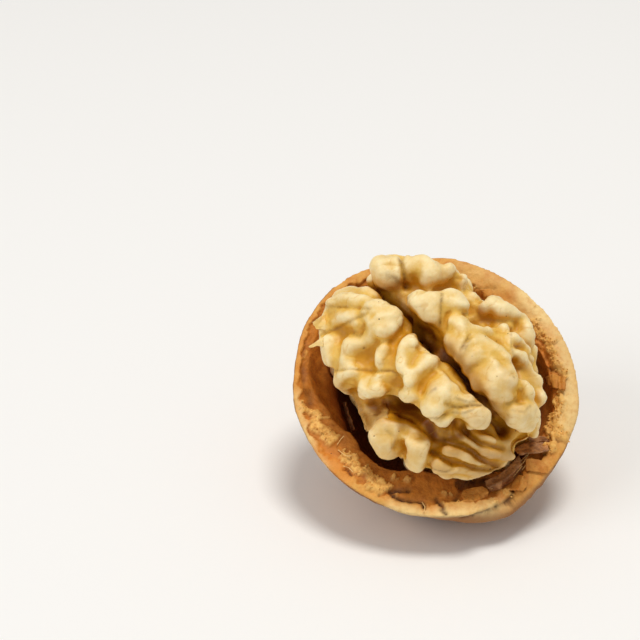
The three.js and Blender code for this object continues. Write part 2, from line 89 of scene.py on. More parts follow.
def in_world(points):
    """Millimetres in the nut's frame as world places."""
    return np.asarray(points, float) @ np.array(TURN).T * MM + np.array(NUT_MIDDLE)


print("the open side faces", [round(part, 2) for part in TURN @ Vector((0, 0, 1))])

# %% [markdown]
# The camera comes first, because the strokes below are drawn as seen through it: a place in the picture
# is turned into a ray, and the ray finds the place on the nut. A long lens far away keeps the nut's
# proportions true. The picture is square, 640 pixels a side.

# %% Camera
PICTURE = 640           # pixels
CAMERA_AWAY = Vector((0, -218.05, 141.61)) * MM
CAMERA_DOWN = 31.284    # degrees
CAMERA_LEFT = 4.0715    # degrees
LENS = 110.3
SENSOR = 36

bpy.ops.object.camera_add(
    location=NUT_MIDDLE + CAMERA_AWAY,
    rotation=(math.radians(90 - CAMERA_DOWN), 0, math.radians(CAMERA_LEFT)),
)
camera = bpy.context.object
camera.data.lens = LENS
camera.data.sensor_width = SENSOR
camera.data.clip_start = 0.01
bpy.context.scene.camera = camera
bpy.context.view_layer.update()


def ray_through(pixel):
    """The camera's place and the direction in which it sees a pixel."""
    pixels_to_units = SENSOR / LENS / PICTURE
    across = (pixel[0] - PICTURE / 2) * pixels_to_units
    up = (PICTURE / 2 - pixel[1]) * pixels_to_units
    direction = camera.matrix_world.to_3x3() @ Vector((across, up, -1))
    return camera.matrix_world.translation, direction.normalized()


print("camera", [round(part / MM) for part in camera.location], "mm")

# %% [markdown]
# A pale floor and soft light from large lamps: the main one nearly overhead and a little to the right, a
# weaker one lower on the left, and a bright sky all round, as in a light tent. Small lamps would give
# harder shadows than the picture has on the nut. The colours are shown as they are, without a film curve.

# %% Floor and light
FLOOR_SIZE = 3.0
LAMPS = [
    {"name": "key", "place": (0.1, -0.02, 0.85), "size": 0.3, "power": 4.1,
     "colour": (1.0, 0.97, 0.92)},
    {"name": "fill", "place": (-0.55, -0.35, 0.45), "size": 0.5, "power": 1.6,
     "colour": (0.97, 0.98, 1.0)},
]
SKY = (1.0, 1.0, 1.0, 1.0)
SKY_STRENGTH = 0.38


def shader_of(name):
    """A new material, with its node tree and its main shader."""
    material = bpy.data.materials.new(name)
    material.use_nodes = True
    return material, material.node_tree, material.node_tree.nodes["Principled BSDF"]


def paint(red, green, blue):
    """A colour given from 0 to 255 as it shows on a screen, in the linear values that shaders take."""
    shares = [part / 255 for part in (red, green, blue)]
    linear = [part / 12.92 if part <= 0.04045 else ((part + 0.055) / 1.055) ** 2.4 for part in shares]
    return (*linear, 1.0)


bpy.ops.mesh.primitive_plane_add(size=FLOOR_SIZE)
floor = bpy.context.object
floor.name = "floor"
floor_material, _, floor_shader = shader_of("pale floor")
floor_shader.inputs["Base Color"].default_value = paint(244, 243, 241)
floor_shader.inputs["Roughness"].default_value = 0.9
floor.data.materials.append(floor_material)

for lamp in LAMPS:
    bpy.ops.object.light_add(type="AREA", location=lamp["place"])
    light = bpy.context.object
    light.name = lamp["name"]
    light.rotation_euler = (NUT_MIDDLE - light.location).to_track_quat("-Z", "Y").to_euler()
    light.data.shape = "DISK"
    light.data.size = lamp["size"]
    light.data.energy = lamp["power"]
    light.data.color = lamp["colour"]

world = bpy.context.scene.world or bpy.data.worlds.new("sky")
bpy.context.scene.world = world
world.use_nodes = True
world.node_tree.nodes["Background"].inputs["Color"].default_value = SKY
world.node_tree.nodes["Background"].inputs["Strength"].default_value = SKY_STRENGTH
bpy.context.scene.view_settings.view_transform = "Standard"
print("floor and", len(LAMPS), "lamps")

# %% [markdown]
# Modelling clay needs a few tools. A piece starts as a copy of its solid, with the loose triangles merged
# and turned back into quads. A voxel remesh gives it an even skin of small faces, so that a stroke works
# the same everywhere. Places and normals are read as arrays, moved, and written back. A sculptor would
# push the skin by hand. Code moves the same vertices by rule, so that a number changes each fold.

# %% Tools for modelling
def clay_from(node, name):
    """A new piece with a merged copy of a solid's mesh, in quads."""
    bpy.ops.object.select_all(action="DESELECT")
    piece = bpy.data.objects.new(name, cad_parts[node].data.copy())
    piece.data.materials.clear()
    bpy.context.scene.collection.objects.link(piece)
    piece.select_set(True)
    bpy.context.view_layer.objects.active = piece
    bpy.ops.object.mode_set(mode="EDIT")
    bpy.ops.mesh.select_all(action="SELECT")
    bpy.ops.mesh.remove_doubles(threshold=0.001 * MM)
    bpy.ops.mesh.tris_convert_to_quads()
    bpy.ops.object.mode_set(mode="OBJECT")
    return piece


def applied(piece, kind, **settings):
    """Adds a modifier with these settings and applies it."""
    modifier = piece.modifiers.new(kind.lower(), kind)
    for name, value in settings.items():
        setattr(modifier, name, value)
    bpy.context.view_layer.objects.active = piece
    bpy.ops.object.modifier_apply(modifier=modifier.name)


def remeshed(piece, size):
    """Gives the piece a new even skin with faces of about this size, in millimetres."""
    applied(piece, "REMESH", mode="VOXEL", voxel_size=size * MM, use_smooth_shade=True)


def places(piece):
    found = np.empty(len(piece.data.vertices) * 3, np.float32)
    piece.data.vertices.foreach_get("co", found)
    return found.reshape(-1, 3).astype(float)


def normals(piece):
    found = np.empty(len(piece.data.vertices) * 3, np.float32)
    piece.data.vertex_normals.foreach_get("vector", found)
    return found.reshape(-1, 3).astype(float)


def put(piece, moved):
    piece.data.vertices.foreach_set("co", moved.astype(np.float32).ravel())
    piece.data.update()


def averaged(piece, values, rounds):
    """Each vertex's value replaced by the mean of its neighbours', several times over."""
    ends = np.empty(len(piece.data.edges) * 2, np.int32)
    piece.data.edges.foreach_get("vertices", ends)
    one, other = ends.reshape(-1, 2).T
    start, end = np.concatenate((one, other)), np.concatenate((other, one))
    size = len(values)
    count = np.maximum(np.bincount(start, minlength=size), 1)
    columns = values.reshape(size, -1)
    for _ in range(rounds):
        sums = [np.bincount(start, column[end], size) for column in columns.T]
        columns = (np.array(sums) / count).T
    return columns.reshape(values.shape)


def relaxed(piece, rounds, share=1.0):
    """Smooths the piece by a share, which may be a number or a column with one for each vertex."""
    before = places(piece)
    put(piece, before + share * (averaged(piece, before, rounds) - before))


def sharpened(piece, rounds, share):
    """Moves each vertex away from the smoothed piece, so that crests rise and valleys deepen."""
    before = places(piece)
    out = averaged(piece, normals(piece), rounds=2)
    heights = np.einsum("ij,ij->i", before - averaged(piece, before, rounds), out)
    put(piece, before + share * heights[:, None] * out)


def raised(piece, heights):
    """Moves each vertex along its normal, by millimetres."""
    put(piece, places(piece) + normals(piece) * heights[:, None] * MM)


def keep(piece, name, values):
    """Stores a number for each vertex, for the material to read."""
    attribute = piece.data.attributes.new(name, "FLOAT", "POINT")
    attribute.data.foreach_set("value", np.clip(values, 0, 1).astype(np.float32))


# %% [markdown]
# A stroke is a line through a few pixels of the picture. It is cut into short steps, and each step is
# dropped on the piece along the camera's ray. What lies close to the line, within the stroke's width,
# is then raised, pressed in or marked by the stroke's amount. The tables below give each stroke as its
# width in millimetres, its amount and its line. Noise in three dimensions makes what has no fixed course.

# %% Strokes and noise
STEP_PIXELS = 1.5
STROKE_REACH = 2.5      # widths beyond which a stroke does nothing
CREST_SLOPE = 3         # how narrow the crests of the ridged noise are


def dropped(tree, pixels):
    """The places on a piece that lie under a line through these pixels."""
    found = []
    for (x0, y0), (x1, y1) in zip(pixels, pixels[1:] or pixels):
        steps = max(1, round(math.hypot(x1 - x0, y1 - y0) / STEP_PIXELS))
        for share in np.linspace(0, 1, steps + 1):
            hit, _, _, _ = tree.ray_cast(*ray_through((x0 + share * (x1 - x0), y0 + share * (y1 - y0))))
            if hit is not None:
                found.append(hit)
    return np.array(found).reshape(-1, 3)


def gaps_to(line, points, reach):
    """Which points lie in the line's box, widened by the reach, and how far they are from the line."""
    close = np.all((points > line.min(0) - reach) & (points < line.max(0) + reach), axis=1)
    gaps = np.linalg.norm(points[close][:, None, :] - line[None, :, :], axis=2).min(axis=1)
    return close, gaps


def nearness(points, line, width):
    """1 on the line and 0 far from it, over a width in millimetres."""
    weight = np.zeros(len(points))
    if len(line) > 0:
        close, gaps = gaps_to(line, points, STROKE_REACH * width * MM)
        weight[close] = np.exp(-((gaps / (width * MM)) ** 2))
    return weight


def tree_of(piece):
    return BVHTree.FromObject(piece, bpy.context.evaluated_depsgraph_get())


def weighed(piece, strokes):
    """For each stroke, every vertex's nearness to it times the stroke's amount."""
    tree = tree_of(piece)
    points = places(piece)
    return [amount * nearness(points, dropped(tree, line), width) for width, amount, line in strokes]


def stroked(piece, strokes):
    """What all the strokes together do at each vertex."""
    return sum(weighed(piece, strokes))


def marked(piece, strokes):
    """What the strongest stroke does at each vertex."""
    return np.max(weighed(piece, strokes), axis=0)


def shifted(points, size, offset):
    """Points as the noise takes them, in lumps of this size. The offset picks a pattern."""
    shift = Vector((offset, offset * 0.7, offset * 1.3))
    return [Vector(p) / size + shift for p in points]


def rough(points, size, offset, octaves=3):
    """Soft noise from about -1 to 1, in lumps of this size. Octaves add finer and weaker ones."""
    return np.array([noise.fractal(p, 1.0, 2.0, octaves) for p in shifted(points, size, offset)])


def ridges(points, size, offset):
    """Noise with sharp crests, from 0 to about 1."""
    values = np.array([noise.noise(p) for p in shifted(points, size, offset)])
    return 1 - np.minimum(np.abs(values) * CREST_SLOPE, 1)


def eased(values, low, high):
    share = np.clip((values - low) / (high - low), 0, 1)
    return share * share * (3 - 2 * share)


# %% [markdown]
# The kernel is the seed: two leaves folded into each other, with a deep groove down the middle. Its solid
# has the main folds. Where its dimples would disturb the finer folds, the copy is evened first. Then the
# groove is deepened, with steep walls, and a dip is let in behind the crown, where the shell's lip shows
# over the kernel. Both go straight down in the nut's frame, because the skin would tear if it were pushed
# that far along its normals. They stretch it, so it is remeshed before anything else is worked in.

# %% The kernel's groove
FIRST_SKIN = 0.3        # face size of the skin that the groove is pressed into, in millimetres
KERNEL_SKIN = 0.24      # and of the skin that the folds are worked in
GROOVE_MIDDLE = [(-17, 0.2), (-13.5, -0.5), (-7.5, -0.9), (-1, -1.0), (4, -0.4), (9, 0.1), (13, 0.5)]
GROOVE_DEPTH = [(-17, 0.3), (-12, 0.8), (-6, 2.2), (-2, 3.2), (2, 3.6), (8, 3.8), (11.5, 2.4), (13, 0)]
GROOVE_LEFT = 0.7       # half widths, to the left and right of the middle
GROOVE_RIGHT = 0.8
GROOVE_WALLS = 3        # how steep the walls are
GROOVE_WANDER = 0.35
GROOVE_FADE = (1.0, 6.0)    # heights over the seam between which groove and dip set in
DIP_PLACE = (-4.8, 9.6)
DIP_WIDTH = 1.5
DIP_DEPTH = 2.6
EVEN_PLACES = [
    (2.4, 1.0, [(370, 344), (371, 368)]),
    (1.7, 0.9, [(398, 334), (393, 350), (391, 390)]),
    (1.6, 0.9, [(520, 362), (530, 376)]),
    (1.2, 0.8, [(354, 334), (360, 338)]),
]


def read_off(table, where):
    """A value for each place, from a table of places and values with straight lines between them."""
    return np.interp(where, *np.array(table).T)


kernel = clay_from("kernel", "walnut_kernel")
applied(kernel, "SUBSURF", levels=1, render_levels=1)
remeshed(kernel, FIRST_SKIN)
relaxed(kernel, rounds=8)
relaxed(kernel, rounds=90, share=marked(kernel, EVEN_PLACES)[:, None])

nut = in_nut(places(kernel))
aside = nut[:, 1] - read_off(GROOVE_MIDDLE, nut[:, 0]) - GROOVE_WANDER * rough(nut, 3.0, 4.1, 2)
depth = read_off(GROOVE_DEPTH, nut[:, 0])
half_width = np.where(aside < 0, GROOVE_LEFT, GROOVE_RIGHT)
in_groove = np.exp(-(np.abs(aside / half_width) ** GROOVE_WALLS))
dip = np.exp(-(np.hypot(nut[:, 0] - DIP_PLACE[0], nut[:, 1] - DIP_PLACE[1]) / DIP_WIDTH) ** 2)
nut[:, 2] -= (depth * in_groove + DIP_DEPTH * dip) * eased(nut[:, 2], *GROOVE_FADE)
put(kernel, in_world(nut))
remeshed(kernel, KERNEL_SKIN)
relaxed(kernel, rounds=2, share=0.7)
print("kernel skin:", len(kernel.data.polygons), "faces")

# %% [markdown]
# Every fold is a rounded roll of a certain radius that stands out of the skin by a certain height. Where
# two rolls meet, the higher one nearly wins, which leaves a narrow valley between them, as on the real
# thing. Noise alone would give lumps without a course, so the folds that the picture shows are drawn one
# by one, from the tip to the stem end, each as its radius, its height and its line, with the deeper
# valleys between them.

# %% The kernel's folds
KERNEL_FOLDS = [
    # The cap, left of the groove: its top band, its knob and the lobes down its side
    (1.3, 0.7, [(327, 302), (345, 296), (368, 300), (386, 306)]),
    (2.0, 0.45, [(340, 318), (352, 314)]),
    (2.1, 1.45, [(373, 311), (384, 318), (394, 316)]),
    (1.8, 0.95, [(377, 331), (387, 329)]),
    (1.5, 0.75, [(359, 325), (367, 335)]),
    (1.4, 0.85, [(328, 342), (326, 352), (331, 362)]),
    (1.2, 0.6, [(338, 338), (350, 339), (361, 344)]),
    (1.6, 0.75, [(346, 347), (344, 356), (347, 365)]),
    (2.2, 0.62, [(336, 344), (337, 362)]),
    (1.5, 0.65, [(385, 352), (392, 361), (394, 373)]),
    (1.7, 0.35, [(358, 356), (366, 360)]),
    (1.1, 0.5, [(324, 328), (332, 326)]),
    (1.1, 0.95, [(386, 346), (380, 352), (379, 361)]),
    (1.2, 0.9, [(353, 373), (344, 375), (336, 382), (336, 391), (342, 397)]),
    (1.2, 0.35, [(352, 384), (347, 390)]),
    (1.5, 1.0, [(363, 388), (370, 392), (378, 391)]),
    (0.9, 0.5, [(374, 377), (384, 375)]),
    (0.9, 0.4, [(364, 380), (370, 378)]),
    # The ridge along the groove, down to its two round lobes
    (1.3, 1.15, [(410, 341), (404, 347), (400, 358), (404, 372), (410, 380)]),
    (1.0, 0.9, [(410, 378), (420, 367), (430, 361), (439, 358)]),
    (1.0, 0.7, [(414, 337), (424, 342), (432, 350), (440, 356)]),
    (2.1, 0.95, [(412, 352), (424, 358)]),
    (1.5, 0.45, [(424, 376), (434, 380)]),
    (1.5, 1.5, [(441, 358), (452, 369), (462, 381)]),
    (1.1, 0.5, [(440, 372), (448, 384), (456, 386)]),
    (1.9, 1.3, [(440, 394), (433, 402), (430, 411)]),
    (1.2, 1.0, [(431, 423), (440, 425), (447, 420)]),
    (1.5, 1.3, [(464, 386), (474, 396), (484, 407)]),
    (2.2, 1.3, [(477, 411), (487, 418)]),
    (1.8, 1.0, [(453, 404), (466, 409)]),
    (1.3, 0.9, [(403, 396), (412, 393)]),
    (0.9, 0.5, [(454, 398), (466, 402)]),
    (1.0, 0.45, [(455, 413), (466, 416)]),
    # The crown, right of the groove
    (2.5, 1.6, [(374, 272), (384, 268), (394, 267)]),
    (1.6, 1.2, [(374, 280), (384, 280), (394, 276)]),
    (2.1, 1.2, [(410, 262), (422, 262), (432, 267)]),
    (1.4, 0.7, [(428, 274), (426, 281)]),
    (1.5, 0.7, [(436, 270), (446, 272)]),
    (1.0, 1.0, [(448, 269), (456, 266), (462, 272), (463, 282)]),
    # The fold in front of it, in two halves, and the knob below
    (2.1, 1.5, [(419, 302), (434, 301), (450, 300), (459, 301)]),
    (1.6, 1.0, [(426, 313), (440, 316), (452, 312)]),
    (1.7, 1.2, [(456, 324), (460, 333)]),
    # The ear and the ridges down the right side
    (1.1, 1.1, [(486, 306), (492, 299), (499, 297), (503, 301)]),
    (1.2, 1.0, [(499, 308), (512, 312), (522, 317), (527, 325), (530, 333)]),
    (0.9, 0.75, [(466, 320), (474, 328), (486, 330), (499, 326), (509, 326)]),
    (0.9, 0.85, [(516, 337), (528, 341), (535, 347)]),
    (0.9, 0.85, [(517, 353), (528, 358), (536, 363)]),
    (1.1, 0.9, [(534, 365), (541, 373), (545, 384), (545, 395), (541, 403)]),
    (0.6, 0.5, [(511, 334), (512, 346), (514, 355), (510, 363)]),
    # The long body between the ear and the stem end
    (1.8, 1.0, [(474, 342), (484, 346), (496, 351), (503, 358)]),
    (2.8, 2.1, [(463, 348), (474, 364), (485, 380)]),
    (2.5, 1.4, [(490, 384), (502, 400), (514, 417)]),
    (1.6, 1.0, [(496, 362), (505, 369)]),
    (1.8, 1.2, [(507, 376), (515, 386)]),
    (1.5, 1.3, [(522, 387), (528, 395)]),
    (1.6, 1.2, [(525, 403), (534, 414)]),
    (1.5, 0.9, [(519, 424), (530, 427)]),
    # The arch and the two curls under the cap
    (0.8, 0.7, [(392, 417), (404, 421), (414, 428), (424, 436), (430, 444)]),
    (1.3, 1.2, [(382, 426), (374, 436), (375, 448), (382, 457), (392, 460)]),
    (2.4, 1.4, [(383, 436), (383, 450)]),
    (1.3, 1.3, [(384, 426), (394, 427), (404, 432), (414, 440), (421, 448)]),
    (1.7, 1.6, [(420, 448), (419, 456), (415, 465)]),
    # The long ridges of the lower seed leaf
    (0.8, 0.6, [(472, 431), (484, 438), (494, 442)]),
    (0.7, 0.9, [(456, 430), (466, 438), (474, 445), (484, 450)]),
    (1.0, 1.05, [(484, 451), (498, 455), (514, 455)]),
    (1.1, 0.9, [(448, 449), (460, 454), (470, 460)]),
    (0.6, 0.8, [(470, 460), (482, 465), (496, 468)]),
    (0.9, 0.8, [(433, 462), (445, 470), (458, 470), (474, 473), (498, 472)]),
    (1.3, 0.9, [(497, 428), (504, 436), (509, 443)]),
    (1.4, 0.7, [(436, 469), (446, 474)]),
]
# Three valleys run along the lower seed leaf, and their creases and their painted shade follow them
UPPER_VALLEY = [(464, 431), (470, 437), (478, 442), (490, 446), (503, 449)]
MIDDLE_VALLEY = [(446, 442), (456, 444), (465, 447), (473, 452), (480, 458), (488, 463), (497, 466)]
LOWER_VALLEY = [(433, 452), (443, 458), (452, 462), (465, 464), (474, 468), (490, 470), (503, 468)]
VALLEYS = [
    (0.35, -0.2, [(371, 312), (377, 324), (375, 338)]),
    (0.6, -0.5, [(378, 341), (390, 341), (400, 334), (408, 324)]),
    (0.8, -0.25, [(394, 345), (392, 360), (394, 374), (397, 386)]),
    (0.5, -0.5, [(352, 393), (354, 402)]),
    (0.8, -0.4, [(420, 385), (428, 378), (436, 371)]),
    (0.4, -0.4, [(429, 417), (440, 418), (448, 414)]),
    (0.4, -0.8, [(403, 262), (404, 276), (405, 288)]),
    (0.5, -0.4, [(408, 288), (424, 288), (440, 288), (455, 290), (465, 288)]),
    (0.3, -0.2, [(441, 293), (441, 306), (440, 322)]),
    (0.6, -0.7, [(470, 298), (471, 308), (468, 316)]),
    (0.4, -0.4, [(444, 325), (447, 316), (456, 312), (465, 313)]),
    (0.5, -0.4, [(516, 345), (529, 348)]),
    (0.5, -0.7, [(512, 365), (521, 378), (533, 390), (538, 403)]),
    (0.4, -0.5, [(519, 377), (517, 389), (521, 399)]),
    (0.4, -0.4, [(508, 401), (520, 402), (535, 400)]),
    (0.35, -0.3, [(494, 356), (503, 364)]),
    (0.6, -1.1, [(402, 445), (403, 454), (404, 467)]),
    (0.45, -0.9, [(432, 447), (431, 458), (425, 474)]),
    (0.5, -0.5, [(402, 431), (411, 436), (419, 441)]),
    (0.5, -0.6, UPPER_VALLEY),
    (0.55, -0.8, MIDDLE_VALLEY),
    (0.45, -0.6, LOWER_VALLEY),
]

# %% [markdown]
# The folds are raised together, along smoothed normals, so that neighbouring vertices don't cross. Edges
# wander and heights vary a little, because no real fold is even. The sides that the picture doesn't show
# get lumps with sharp valleys from noise. Then crests are raised and valleys deepened all over, and the two
# curls under the cap, which are smooth on the real kernel, are evened again.

# %% Raising the folds
SOFT_PLACES = [
    (1.7, 0.7, [(420, 446), (417, 464)]),
    (1.8, 0.6, [(380, 434), (386, 454)]),
]
FOLD_BED = 0.5          # how far the skin between the folds is pressed in
FOLD_FOOT = 1.35        # how far a fold reaches, in its radius
FOLD_ROUND = 1.5        # how round a fold's back is
FOLD_WANDER = 0.3       # how far a fold's edge strays, in millimetres
FOLD_LUMPS = 0.3        # by which share a fold's height varies
FOLD_MERGE = 3.0        # how sharply folds meet: 1 adds them up, and a high number lets the higher one win
SIDE_LUMP = 0.7         # height of the lumps that noise makes on the other sides
SIDE_SLOPE = 2.2        # how steep they are
SIDE_BED = 0.4          # and how deep their valleys lie, in their height
DRAWN_FACING = (0.0, 0.3)   # how squarely the skin has to face the camera to get drawn folds


def rolls(piece, folds):
    """The height of the folds over each vertex, which merge softly where they meet."""
    tree = tree_of(piece)
    points = places(piece)
    nut = in_nut(points)
    wander = FOLD_WANDER * rough(nut, 2.2, 31.7, 2)
    lumpy = 1 + FOLD_LUMPS * rough(nut, 1.8, 40.2, 2)
    total = np.zeros(len(points))
    for radius, height, pixels in folds:
        line = dropped(tree, pixels)
        if len(line) == 0:
            continue
        foot = FOLD_FOOT * radius
        close, gaps = gaps_to(line, points, (foot + FOLD_WANDER) * MM)
        share = np.clip((gaps / MM + wander[close]) / foot, 0, 1)
        total[close] += (height * (1 - share**2) ** FOLD_ROUND) ** FOLD_MERGE
    return lumpy * total ** (1 / FOLD_MERGE)


def faced(piece):
    """How squarely each vertex's smoothed skin faces the camera, from -1 to 1."""
    to_camera = np.array(camera.location) - places(piece)
    to_camera /= np.linalg.norm(to_camera, axis=1)[:, None]
    smooth = averaged(piece, normals(piece), rounds=12)
    return np.einsum("ij,ij->i", smooth, to_camera)


drawn = eased(faced(kernel), *DRAWN_FACING)
nut = in_nut(places(kernel))
lumps = SIDE_LUMP * (np.minimum(SIDE_SLOPE * np.abs(rough(nut, 3.2, 8.3, 1)), 1) - SIDE_BED)
folded = rolls(kernel, KERNEL_FOLDS) + stroked(kernel, VALLEYS) - FOLD_BED
heights = drawn * folded + (1 - drawn) * lumps
out = averaged(kernel, normals(kernel), rounds=6)
put(kernel, places(kernel) + out * heights[:, None] * MM)
remeshed(kernel, KERNEL_SKIN)
relaxed(kernel, rounds=1, share=0.6)
sharpened(kernel, rounds=40, share=0.45)
remeshed(kernel, KERNEL_SKIN)
sharpened(kernel, rounds=8, share=0.3)
relaxed(kernel, rounds=1, share=0.6)
relaxed(kernel, rounds=30, share=marked(kernel, SOFT_PLACES)[:, None])
print(len(KERNEL_FOLDS), "folds, up to", round(heights.max(), 2), "mm high")

# %% [markdown]
# Between the folds lie hollows, round and soft, and creases, narrow and sharp. They are pressed in last,
# because a remesh would blur them, together with fine wrinkles and a little unevenness all over.

# %% The kernel's hollows and creases
HOLLOWS = [
    (0.8, -0.4, [(414, 279)]),
    (0.8, -0.5, [(452, 282), (458, 279)]),
    (0.9, -0.1, [(480, 318), (490, 317)]),
    (0.5, -0.4, [(420, 349)]),
    (0.6, -0.3, [(520, 368), (526, 373)]),
    (0.6, -0.3, [(397, 449)]),
    (0.8, -0.3, [(347, 386)]),
    (1.3, -1.0, [(520, 445), (527, 441)]),
]
LEAF_LOOP = [(428, 464), (433, 469), (445, 472), (453, 469), (452, 464)]
CREASES = [
    (0.25, -0.2, [(322, 306), (344, 307), (370, 309)]),
    (0.25, -0.2, [(368, 313), (354, 319), (340, 327), (318, 336)]),
    (0.25, -0.15, [(374, 314), (364, 324), (362, 334)]),
    (0.3, -0.3, UPPER_VALLEY),
    (0.35, -0.4, MIDDLE_VALLEY),
    (0.3, -0.3, LOWER_VALLEY),
    (0.2, -0.12, LEAF_LOOP),
    (0.3, -0.25, [(446, 404), (460, 407), (480, 405)]),
    (0.2, -0.2, [(378, 372), (392, 371), (402, 376)]),
    (0.2, -0.2, [(334, 371), (350, 369), (372, 371)]),
    (0.25, -0.25, [(461, 349), (467, 340), (470, 335)]),
]
UNEVEN = 0.05           # millimetres
FINE_UNEVEN = 0.03
WRINKLE_DEPTH = 0.08

raised(kernel, stroked(kernel, HOLLOWS) + stroked(kernel, CREASES))
nut = in_nut(places(kernel))
wrinkles = ridges(nut, 1.9, 9.4) ** 4 * eased(rough(nut, 3.0, 19.0, 1), -0.3, 0.2)
bumps = UNEVEN * rough(nut, 1.1, 2.7) + FINE_UNEVEN * rough(nut, 0.5, 5.9, 2)
raised(kernel, bumps - WRINKLE_DEPTH * wrinkles)
keep(kernel, "wrinkle", wrinkles)
print(len(HOLLOWS), "hollows and", len(CREASES), "creases")

# %% [markdown]
# The sheltered skin is painted ochre to brown and the crests pale: partly the skin's own tones, and partly
# painted shade and painted highlight. Fine dark veins run over both. Veins, stains and painted shade under
# the cap, along the groove, round the curls and over the lower seed leaf are drawn as strokes that leave
# only colour. Some sheltered places are golden, and there strokes hold the painted brown shade back.

# %% The kernel's marks
VEINS = [
    (0.3, 0.9, [(400, 260), (403, 268), (404, 278), (405, 288)]),
    (0.6, 0.6, [(389, 275), (396, 279), (402, 282)]),
    (0.2, 0.8, [(442, 294), (441, 306), (440, 326)]),
    (0.2, 0.8, [(461, 350), (466, 341), (470, 335)]),
    (0.2, 0.6, [(465, 348), (471, 338)]),
    (0.25, 0.9, [(447, 406), (458, 408), (470, 406), (481, 405)]),
    (0.2, 0.5, [(456, 398), (468, 402), (480, 401)]),
    (0.2, 0.5, [(452, 412), (464, 413), (474, 409)]),
    (0.2, 0.4, [(324, 306), (344, 307), (369, 309)]),
    (0.25, 0.5, [(318, 336), (330, 331), (340, 327), (354, 319), (366, 314)]),
    (0.4, 0.9, [(354, 334), (360, 335)]),
    (0.2, 1.0, [(364, 348)]),
    (0.5, 0.5, [(507, 403), (514, 400), (520, 404)]),
    (0.2, 0.4, [(512, 410), (524, 412), (530, 406)]),
    (0.2, 0.8, [(514, 377)]),
    (0.15, 0.5, [(511, 330), (511, 345), (514, 356), (511, 363)]),
    (0.15, 0.7, LEAF_LOOP),
    (0.25, 0.7, [(430, 418), (438, 418), (444, 414)]),
    (0.2, 0.7, [(378, 371), (392, 371), (402, 376)]),
    (0.15, 0.6, [(334, 371), (350, 369), (374, 371)]),
    (0.2, 0.5, [(422, 392), (428, 394), (436, 388)]),
    (0.2, 0.4, [(386, 430), (396, 438), (392, 448)]),
]
# Mostly painted shade: under the cap's overhang, over the lower seed leaf that the lobes above shade, in
# its three valleys, along the groove's edge, round the curls and in the notch at the leaf's tip. A few are
# the skin's own tone, such as the brown wall beside the curls.
STAINS_AND_SHADE = [
    (1.1, 1.0, [(384, 404), (398, 410), (414, 414), (428, 424), (434, 436)]),
    (1.3, 0.65, [(356, 400), (362, 414), (370, 428)]),
    (1.3, 0.9, [(372, 404), (380, 412)]),
    (0.7, 0.45, [(398, 425), (410, 432), (420, 440)]),
    (1.0, 0.7, [(440, 430), (452, 436), (462, 428)]),
    (0.9, 0.5, [(432, 440), (438, 450), (450, 458)]),
    (2.2, 0.68, [(438, 442), (456, 448)]),
    (2.6, 0.6, [(466, 448), (490, 457), (506, 458)]),
    (1.6, 0.5, [(434, 464), (450, 473), (482, 472)]),
    (1.1, 0.85, [(434, 440), (446, 440), (460, 436)]),
    (2.4, 0.22, [(378, 436), (392, 450), (418, 456)]),
    (1.8, 0.2, [(478, 412), (488, 420)]),
    (1.4, 0.2, [(506, 370), (514, 384)]),
    (1.6, 0.15, [(330, 312), (342, 322)]),
    (1.2, 0.3, [(470, 421), (488, 424)]),
    (0.8, 0.7, UPPER_VALLEY),
    (1.0, 0.76, MIDDLE_VALLEY),
    (0.7, 0.7, LOWER_VALLEY),
    (0.9, 0.85, [(519, 445), (527, 440)]),
    (0.6, 0.45, [(374, 452), (382, 461), (392, 463), (402, 460)]),
    (0.9, 0.55, [(378, 420), (392, 420), (404, 424)]),
    (1.5, 0.25, [(506, 380), (514, 394), (520, 410)]),
    (0.8, 0.5, [(478, 437), (492, 437)]),
    (1.0, 0.5, [(478, 314), (490, 318), (496, 322)]),
    (1.2, 0.4, [(336, 386), (346, 388)]),
    (1.1, 0.3, [(362, 356), (366, 368)]),
    (0.9, 0.3, [(444, 276), (456, 280)]),
    (0.8, 0.3, [(408, 276), (414, 284)]),
    (0.9, 0.5, [(376, 288), (392, 296), (402, 304)]),
    (1.6, 0.68, [(450, 348), (465, 368), (480, 388), (494, 408), (506, 430)]),
    (0.9, 0.35, [(520, 366), (530, 378)]),
    (0.9, 0.4, [(424, 378), (432, 386)]),
    (0.8, 0.3, [(392, 346), (393, 362), (396, 384), (394, 396)]),
    (0.6, 0.45, [(394, 442), (400, 450)]),
    (0.8, 0.4, [(515, 430), (524, 436)]),
]
# Places where strokes hold back the painted shade of shut-in skin, so that they stay golden
SHADE_LIFTED = [
    (2.0, 0.95, [(476, 318), (488, 317), (498, 320)]),
    (1.2, 0.5, [(450, 280), (460, 278)]),
    (1.2, 0.5, [(336, 386), (346, 388)]),
    (1.2, 0.5, [(520, 366), (528, 376)]),
    (1.5, 0.7, [(404, 284), (436, 287), (464, 290)]),
    (1.1, 0.5, [(384, 288), (398, 300), (414, 318)]),
    (1.6, 0.3, [(452, 350), (470, 368), (488, 392), (502, 416)]),
]

# %% [markdown]
# What the strokes don't give is measured on the finished shape. A smoothed copy of the skin tells crests
# from hollows, and a fan of rays out of each vertex tells how shut in it is: the more of them meet the
# kernel again, the less light gets in. The material paints shut-in skin ochre to brown, as painted shade.
# The shadows of a render could be baked instead, but they would be those of one light. All of this is
# stored on the vertices: a painted image would do as well, but the skin would have to be unwrapped for it.

# %% Storing the marks
SMOOTH_ROUNDS = 60      # how smooth the skin is that hollows are measured against
CREST_RANGE = (-0.3, 0.6)
HOLLOW_RANGE = (-0.1, 0.45)
SHELTER_REACH = 5.0     # millimetres
SHELTER_RAYS = 20
SHELTER_START = 0.06    # millimetres over the skin
SHELTER_SLANT = 0.1     # lowest rise of a ray over the skin


